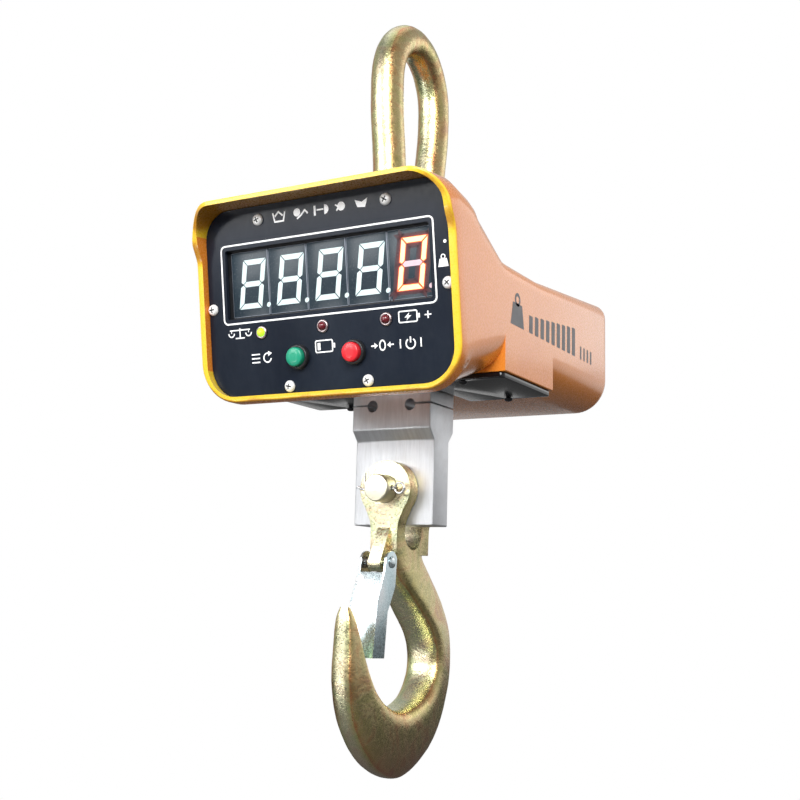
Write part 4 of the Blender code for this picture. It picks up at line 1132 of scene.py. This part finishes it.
# ---- digits --------------------------------------------------------------------------------
DIGIT_WIDTH = 16.9
DIGIT_TALL = 29.8
SEGMENT = 3.2
SPLIT = 0.42
SLANT = tan(radians(8.5))
MODULE_HALF = (0.0137, 0.0200)
MODULE_DEPTH = 0.0090
MODULE_FACE = -0.0040


def segment_outlines():
    """The seven bars of an upright digit, in millimetres from its lower left corner."""
    w, h, t, d = DIGIT_WIDTH, DIGIT_TALL, SEGMENT, SPLIT
    mid = h / 2
    top = [(d, h), (w - d, h), (w - d - t, h - t), (d + t, h - t)]
    bottom = [(x, h - y) for x, y in reversed(top)]
    middle = [(t / 2 + d, mid), (t + d, mid + t / 2), (w - t - d, mid + t / 2), (w - t / 2 - d, mid),
              (w - t - d, mid - t / 2), (t + d, mid - t / 2)][::-1]
    upper_left = [(0, h - d), (0, mid + t * 0.35 + d), (t / 2, mid + d * 0.9),
                  (t, mid + t / 2 + d * 0.6), (t, h - t - d)]
    lower_left = [(x, h - y) for x, y in reversed(upper_left)]
    upper_right = [(w - x, y) for x, y in reversed(upper_left)]
    lower_right = [(w - x, y) for x, y in reversed(lower_left)]
    return {"top": top, "bottom": bottom, "middle": middle, "upper_left": upper_left,
            "lower_left": lower_left, "upper_right": upper_right, "lower_right": lower_right}


def grown(outline, amount):
    """An outline pushed outwards from its middle lines by an amount."""
    points = [Vector(point) for point in outline]
    area = sum(a.x * b.y - b.x * a.y for a, b in zip(points, points[1:] + points[:1]))
    side = 1 if area > 0 else -1
    made = []
    for i, here in enumerate(points):
        near = (here - points[i - 1]).normalized()
        far = (points[(i + 1) % len(points)] - here).normalized()
        out_near = Vector((near.y, -near.x)) * side
        out_far = Vector((far.y, -far.x)) * side
        middle = (out_near + out_far).normalized()
        made.append(tuple(here + middle * amount / max(0.5, middle.dot(out_near))))
    return made


def slanted(outline):
    return [(x + (y - DIGIT_TALL / 2) * SLANT, y) for x, y in outline]


def bars(name, outlines, finish, matrix, low, high):
    bm = bmesh.new()
    for outline in outlines:
        flat_piece(bm, slanted(outline), low, high)
    bmesh.ops.scale(bm, vec=(MM, MM, 1.0), verts=bm.verts)
    made = from_bmesh(name, bm, finish, matrix)
    return settle(made, "scale", [])


def build_digits():
    shapes = segment_outlines()
    for index in range(1, 6):
        node = f"digit_{index}"
        u, v = on_face(node)
        across, along = MODULE_HALF
        body = block(f"{node}_module", (u - across, v - along, MODULE_FACE - MODULE_DEPTH),
                     (u + across, v + along, MODULE_FACE), [DIGIT_FACE, SEAM], PANEL)
        round_edges(body, 0.0005, 2)
        apply_all(body)
        for polygon in body.data.polygons:
            if 0.10 < (PANEL.inverted().to_3x3() @ (body.matrix_world.to_3x3() @ polygon.normal)).z < 0.97:
                polygon.material_index = 1
        settle(body, "scale", [node])
        corner = PANEL @ Matrix.Translation((u - 0.0067, v - 0.0151, MODULE_FACE))
        lit = index == 5
        dot = circle((DIGIT_WIDTH + 2.6 + DIGIT_TALL / 2 * SLANT, 1.3), 1.45, 28)
        if lit:
            on = [outline for key, outline in shapes.items() if key != "middle"]
            for level_index, spread in enumerate((0.25, 0.9, 1.9, 3.2)):
                top = 0.00006 - 0.000012 * level_index
                bars(f"glow_layer_{level_index + 1}", [grown(outline, spread) for outline in on],
                     GLOWS[level_index], corner, 0.00001, top)
            bars("lit_bars", [grown(outline, -0.25) for outline in on], LIT, corner, 0.00002, 0.00010)
            bars("faint_bar", [shapes["middle"], dot], PINK, corner, 0.00002, 0.00010)
        else:
            bars(f"{node}_bars", list(shapes.values()) + [dot], UNLIT, corner, 0.00002, 0.00010)


def build_surround():
    """A black frame behind the window that closes the slit round the digit modules."""
    edge = rounded(-0.0758, 0.0758, -0.0118, 0.0420, 0.002, 0.002, 4)
    hole = rounded(-0.0694, 0.0694, -0.0055, 0.0347, 0.0004, 0.0004, 2)
    made = plate("display_surround", [edge, hole], 0.0010, BLACK,
                 PANEL @ Matrix.Translation((0, 0, -0.0047)))
    settle(made, "scale", [])


build_print()
build_side_marks()
build_panel_screws()
build_lamps()
build_buttons()
build_digits()
build_surround()


# ---- load cell -----------------------------------------------------------------------------
CELL_BORE = 0.0091
CELL_REACH = 0.02                           # cutters run this far each way through the cell
GAUGE_HOLE = 0.0038
GAUGE_HEIGHT = 0.0537
GAUGE_X = 0.0137
SLOT_HALF = 0.0006


def build_load_cell():
    thick, thin, end = 0.0162, 0.0101, 0.0221
    waist_low, waist_high = 0.0317, 0.0385
    top = PIN_SPAN + end
    outline = [(-thin, -end), (thin, -end), (thin, waist_low), (thick, waist_high),
               (thick, PIN_SPAN - waist_high), (thin, PIN_SPAN - waist_low), (thin, top), (-thin, top),
               (-thin, PIN_SPAN - waist_low), (-thick, PIN_SPAN - waist_high), (-thick, waist_high),
               (-thin, waist_low)]
    upright = Matrix.Translation(HOOK_PIN) @ SIDEWAYS
    cell = plate("milled_load_cell", [outline], 2 * CELL_HALF_WIDTH, ALUMINIUM, upright)
    round_edges(cell, 0.0008, 3, 30)
    for height in (0.0, PIN_SPAN):
        boolean(cell, rod("cell_bore", CELL_BORE, (0, -CELL_REACH, lift(height)),
                          (0, CELL_REACH, lift(height))))
    for height, slot in ((GAUGE_HEIGHT, SLOT_HALF), (PIN_SPAN - GAUGE_HEIGHT, -SLOT_HALF)):
        for side in (-1, 1):
            x = side * GAUGE_X
            boolean(cell, rod("gauge_hole", GAUGE_HOLE, (x, -CELL_REACH, lift(height)),
                              (x, CELL_REACH, lift(height)), None, 40))
            ends = sorted((x, side * 0.031))
            boolean(cell, block("gauge_slot", (ends[0], -CELL_REACH, lift(height + slot - SLOT_HALF)),
                                (ends[1], CELL_REACH, lift(height + slot + SLOT_HALF))))
    apply_all(cell, 30)
    settle(cell, "scale", ["load_cell"])


build_load_cell()


# ---- shackle and pins ------------------------------------------------------------------------
def smooth_path(rows, steps):
    """Catmull-Rom points through rows of numbers."""
    made = []
    last = len(rows) - 1
    for index in range(last):
        for step in range(steps):
            made.append(spline_row(rows, index + step / steps))
    made.append(rows[-1])
    return made


def spline_row(rows, position):
    """Catmull-Rom interpolation between rows of numbers."""
    index = min(int(position), len(rows) - 2)
    t = position - index
    before = rows[max(index - 1, 0)]
    start, end = rows[index], rows[index + 1]
    after = rows[min(index + 2, len(rows) - 1)]
    return tuple(0.5 * (2 * b + (c - a) * t + (2 * a - 5 * b + 4 * c - d) * t ** 2
                        + (3 * b - a - 3 * c + d) * t ** 3)
                 for a, b, c, d in zip(before, start, end, after))


SHACKLE_BAR = 0.01075
SHACKLE_EYE = 0.0190
SHACKLE_INNER = 0.0106
SHACKLE_OUTER = 0.0280
PIN_RADIUS = 0.0086
PIN_BORE = 0.0089
COTTER_LOOP = 0.0032


def bow_path():
    """One half of the bow, from the eye up to the crown: y, height and bar thickness."""
    legs = [(0.0195, 0.0080, 0.78), (0.0200, 0.0160, 0.84), (0.0212, 0.0260, 0.92), (0.0228, 0.0345, 0.98),
            (0.0246, 0.0440, 1.0), (0.0262, 0.0530, 1.0), (0.0272, 0.0620, 1.0), (0.0282, 0.0710, 1.0),
            (0.0296, 0.0800, 1.0), (0.0310, 0.0890, 1.0), (0.0321, 0.0990, 1.0), (0.0325, 0.1090, 1.0)]
    crown = CROWN + SHACKLE_BAR
    middle = 0.1175
    turn = [radians(a) for a in range(0, 91, 15)]
    return legs + [(0.0325 * cos(a), middle + (crown - middle) * sin(a), 1.0) for a in turn]


def forged(piece, amount, scale):
    """Uneven forging skin: fixed noise along the normals, the same in every run."""
    for vertex in piece.data.vertices:
        lump = noise.noise(vertex.co * scale) + 0.5 * noise.noise(vertex.co * scale * 2.7)
        vertex.co += vertex.normal * lump * amount
    piece.data.update()


def build_shackle():
    half = bow_path()
    rows = half + [(-y, height, size) for y, height, size in reversed(half[:-1])]
    path = smooth_path(rows, 4)
    here = Matrix.Translation(SHACKLE_PIN)
    bow = tube("forged_shackle", [(0, y, height) for y, height, size in path], SHACKLE_BAR, YELLOW_ZINC,
               [size for y, height, size in path], 10, here)
    forged(bow, 0.00010, 160)
    for side in (-1, 1):
        eye = rod("shackle_eye", SHACKLE_EYE, (0, side * SHACKLE_INNER, 0),
                  (0, side * SHACKLE_OUTER, 0), YELLOW_ZINC, 72, here)
        round_edges(eye, 0.0018, 4)
        boolean(bow, eye, "UNION")
    boolean(bow, block("shackle_slot", (-0.025, -SHACKLE_INNER, -0.025),
                       (0.025, SHACKLE_INNER, 0.028), YELLOW_ZINC, here))
    boolean(bow, rod("shackle_bore", PIN_BORE, (0, -0.04, 0), (0, 0.04, 0), YELLOW_ZINC, 64, here))
    apply_all(bow, 40)
    settle(bow, "shackle", ["shackle"])


def build_pin(name, body, centre, front, rear, cotter_at):
    """A clevis pin along Y with its head behind and a cotter through its front end."""
    r = PIN_RADIUS
    profile = soften([(0.0, front), (r - 0.0004, front), (r, front - 0.0012), (r, -rear), (r + 0.0040, -rear),
                      (r + 0.0040, -rear - 0.0040), (r + 0.0026, -rear - 0.0050), (0.0, -rear - 0.0050)],
                     0.0006, 4)
    pin = turned(f"{name}_turned_pin", profile, aim(centre, (0, -1, 0)), PIN_ZINC, 72)
    here = Matrix.Translation(centre)
    boolean(pin, rod("cotter_hole", 0.0019, (-0.012, -cotter_at, 0.0), (0.012, -cotter_at, 0.0),
                     None, 24, here))
    apply_all(pin)
    settle(pin, body, [f"{name}_pin"])

    loop = [(r + 0.0050 + COTTER_LOOP * cos(radians(a)), COTTER_LOOP * sin(radians(a)))
            for a in range(165, -166, -15)]
    eye = ([(-r - 0.0010, 0.0006), (r + 0.0008, 0.0006)] + loop
           + [(r + 0.0008, -0.0006), (-r - 0.0010, -0.0006)])
    legs = [(-r - 0.0020, -cotter_at, 0.0012), (-r - 0.0027, -cotter_at, 0.0030),
            (-r - 0.0028, -cotter_at, 0.0060), (-r - 0.0027, -cotter_at, 0.0095)]
    tails = [(-r - 0.0026, -cotter_at, -0.0007), (-r - 0.0045, -cotter_at - 0.0004, -0.0002),
             (-r - 0.0075, -cotter_at - 0.0008, 0.0010)]
    wire = legs[::-1] + [(x, -cotter_at, z) for x, z in eye] + tails
    cotter = tube(f"{name}_wire_cotter", smooth_path(wire, 3), 0.0008, STEEL, None, 4, here)
    settle(cotter, body, [f"{name}_cotter"])


build_shackle()
build_pin("shackle", "shackle", SHACKLE_PIN, 0.0395, 0.0284, 0.0335)
build_pin("hook", "hook", HOOK_PIN, 0.0330, 0.0214, 0.0268)


# ---- hook ------------------------------------------------------------------------------------
CLEVIS_EYE = 0.0180
CLEVIS_INNER = 0.0110
CLEVIS_OUTER = 0.0210
LATCH_Y = LATCH_PIN.y - HOOK_PIN.y
LATCH_Z = LATCH_PIN.z - HOOK_PIN.z
RIVET_HOLE = 0.0023

# Forging stations: inner point (y, h), outer point (y, h), inner and outer half width.
HOOK_STATIONS = (
    ((-0.0190, -0.0330), (0.0185, -0.0330), 0.0098, 0.0092),
    ((-0.0195, -0.0440), (0.0210, -0.0420), 0.0105, 0.0088),
    ((-0.0120, -0.0580), (0.0330, -0.0525), 0.0125, 0.0082),
    ((0.0070, -0.0740), (0.0520, -0.0720), 0.0148, 0.0078),
    ((0.0275, -0.0930), (0.0625, -0.0930), 0.0154, 0.0076),
    ((0.0315, -0.1110), (0.0605, -0.1260), 0.0154, 0.0076),
    ((0.0200, -0.1270), (0.0400, -0.1590), 0.0153, 0.0080),
    ((-0.0030, -0.1345), (0.0020, -0.1762), 0.0152, 0.0084),
    ((-0.0210, -0.1320), (-0.0330, -0.1668), 0.0146, 0.0084),
    ((-0.0370, -0.1225), (-0.0570, -0.1440), 0.0132, 0.0082),
    ((-0.0478, -0.1080), (-0.0665, -0.1190), 0.0116, 0.0078),
    ((-0.0545, -0.0930), (-0.0668, -0.0960), 0.0092, 0.0068),
    ((-0.0590, -0.0800), (-0.0668, -0.0800), 0.0064, 0.0052),
    ((-0.0620, -0.0728), (-0.0655, -0.0725), 0.0030, 0.0028),
)


def hook_section(position, points=56):
    """One ring of the forging: wide and rounded inside, a narrow flat rim outside."""
    rows = [(*inner, *outer, wide, narrow) for inner, outer, wide, narrow in HOOK_STATIONS]
    iy, iz, oy, oz, wide, narrow = spline_row(rows, position)
    made = []
    for k in range(points):
        angle = 2 * pi * (k + 0.5) / points
        across = abs(cos(angle)) ** 0.55 * (1 if cos(angle) > 0 else -1)
        beside = abs(sin(angle)) ** 0.70 * (1 if sin(angle) > 0 else -1)
        part = (across + 1) / 2
        width = wide + (narrow - wide) * part
        made.append(Vector((width * beside, iy + (oy - iy) * part, iz + (oz - iz) * part)))
    return made


def build_hook():
    steps = 9
    last = len(HOOK_STATIONS) - 1
    here = Matrix.Translation(HOOK_PIN)
    hook = loft("forged_hook", [hook_section(i / steps) for i in range(last * steps + 1)],
                YELLOW_ZINC, True, 40)
    hook.matrix_world = here
    forged(hook, 0.00012, 140)
    outline = (arc((0, 0), CLEVIS_EYE, -38, 218, 48)
               + [(-0.0106, -0.0190), (-0.0098, -0.0225), (-0.0095, -0.0260), (-0.0093, -0.0400)]
               + [(0.0093, -0.0400), (0.0095, -0.0260), (0.0098, -0.0225), (0.0106, -0.0190)])
    facing = here @ FACING
    clevis = plate("clevis", [outline], 2 * CLEVIS_OUTER, YELLOW_ZINC, facing)
    round_edges(clevis, 0.0020, 4)
    boolean(hook, clevis, "UNION")
    slot_floor = -0.0262
    boolean(hook, block("clevis_slot", (-0.03, -CLEVIS_INNER, slot_floor), (0.03, CLEVIS_INNER, 0.03),
                        YELLOW_ZINC, here))
    boolean(hook, rod("clevis_saddle", CLEVIS_INNER, (-0.03, 0, slot_floor), (0.03, 0, slot_floor),
                      YELLOW_ZINC, 64, here))
    lug = ([(-0.0150, -0.0280), (-0.0212, -0.0240)] + arc((LATCH_Y, LATCH_Z), 0.0058, 180, 290, 16)
           + [(-0.0150, -0.0520)])
    sideways = here @ SIDEWAYS
    boolean(hook, plate("latch_lug", [lug], 0.0088, YELLOW_ZINC, sideways), "UNION")
    boolean(hook, rod("rivet_hole", RIVET_HOLE, (-0.03, LATCH_Y, LATCH_Z), (0.03, LATCH_Y, LATCH_Z),
                      None, 32, here))
    boolean(hook, rod("hook_bore", PIN_BORE, (0, -0.03, 0), (0, 0.03, 0), None, 64, here))
    apply_all(hook, 40)
    settle(hook, "hook", ["hook"])


def build_latch():
    here = Matrix.Translation(LATCH_PIN)
    cheek = (arc((0, 0), 0.0068, 20, 165, 24)
             + [(-0.0080, -0.0060), (-0.0160, -0.0235), (-0.0200, -0.0566), (-0.0062, -0.0572),
                (-0.0035, -0.0300), (0.0050, -0.0150)])
    sideways = here @ SIDEWAYS
    half = 0.0095
    sheet = 0.0014
    latch = plate("pressed_latch", [cheek], 2 * half, WHITE_ZINC, sideways)
    round_edges(latch, 0.0007, 3, 35)
    inside = [(-0.0200, 0.0200), (-0.0200, -0.0060), (-0.0080 + sheet, -0.0062), (-0.0160 + sheet, -0.0238),
              (-0.0200 + sheet, -0.0620), (0.0200, -0.0620), (0.0200, 0.0200)]
    boolean(latch, plate("latch_hollow", [inside], 2 * (half - sheet), WHITE_ZINC, sideways))
    boolean(latch, rod("latch_hole", RIVET_HOLE, (-0.02, 0, 0), (0.02, 0, 0), WHITE_ZINC, 32, here))
    apply_all(latch)
    settle(latch, "latch", ["latch"])

    head = half + GAP
    rivet = [(0.0, head + 0.0013), (0.0012, head + 0.00125), (0.0022, head + 0.0010), (0.0032, head + 0.0006),
             (0.0036, head + 0.0001), (0.0036, head), (0.0020, head)]
    profile = rivet + [(radius, -height) for radius, height in reversed(rivet)]
    made = turned("latch_rivet_fine", profile, aim(LATCH_PIN, (1, 0, 0)), WHITE_ZINC, 40)
    settle(made, "hook", ["latch_rivet"])

    turns = 2.25
    steps = 28
    count = int(turns * steps)
    coil = []
    for i in range(count + 1):
        angle = radians(-60) + 2 * pi * i / steps
        coil.append((-0.0074 + 0.0021 * i / count, 0.0034 * cos(angle), 0.0034 * sin(angle)))
    spring = tube("latch_spring_wire", coil, 0.00042, SPRING, None, 4, here)
    settle(spring, "hook", ["latch_spring"])


build_hook()
build_latch()


# ---- battery covers and their screws -----------------------------------------------------------
def build_covers():
    for side, hand in ((-1, "left"), (1, "right")):
        node = f"battery_cover_{hand}"
        low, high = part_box(node)
        thickness = high.z - low.z
        middle_y = [sum(corner.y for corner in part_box(f"{end}_{hand}_cover_screw")) / 2
                    for end in ("front", "rear")]
        screw_x = side * 0.060
        holes = [circle((screw_x, y), 0.0020, 24) for y in middle_y]
        outline = rounded(low.x, high.x, low.y, high.y, 0.003, 0.003, 8)
        depth = Matrix.Translation((0, 0, (low.z + high.z) / 2))
        cover = plate(f"{hand}_battery_cover", [outline] + holes, thickness, GLOSS_BLACK, depth, 0.0006)
        settle(cover, "scale", [node])
        for y, end in zip(middle_y, ("front", "rear")):
            build_screw(f"{end}_{hand}_cover_screw", (screw_x, y, low.z - GAP), (0, 0, -1),
                        0.0028, 0.0018, 0.0015, 0.0068, 15 + 60 * side, DARK_STEEL)
            x = side * 0.0140
            floor_y = 0.0285 * (-1 if end == "front" else 1)
            build_screw(f"{end}_{hand}_floor_screw", (x, floor_y, lift(FLOOR - GAP)), (0, 0, -1),
                        0.0029, 0.0019, 0.0015, 0.0085, 25 + 40 * side, STEEL)


def build_socket():
    low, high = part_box("charge_socket")
    middle = (low + high) / 2
    profile = soften([(0.0, -0.0080), (0.0036, -0.0080), (0.0036, 0.0022), (0.0074, 0.0022),
                      (0.0080, 0.0016), (0.0080, GAP), (0.0060, GAP), (0.0060, -0.0140),
                      (0.0, -0.0140)], 0.0004)
    made = turned("charge_socket_fine", profile, aim((middle.x, REAR, middle.z), (0, 1, 0)), BLACK, 48)
    settle(made, "scale", ["charge_socket"])


build_covers()
build_socket()


# ---- CAD nodes that stay get their finish --------------------------------------------------------
def dress_cad():
    kept = {"front_panel": PANEL_FACE, "panel_gasket": RUBBER, "display_board": BOARD, "main_board": BOARD,
            "front_bracket": STEEL, "rear_bracket": STEEL, "cell_seal": RUBBER, "cell_cable": BLACK,
            "battery_left": BATTERY, "battery_right": BATTERY}
    for place in ("front", "rear"):
        for hand in ("left", "right"):
            kept[f"{place}_{hand}_cell_bolt"] = STEEL
    for name, finish in kept.items():
        node = frame["nodes"][name]
        node.data.materials.clear()
        node.data.materials.append(finish)


dress_cad()
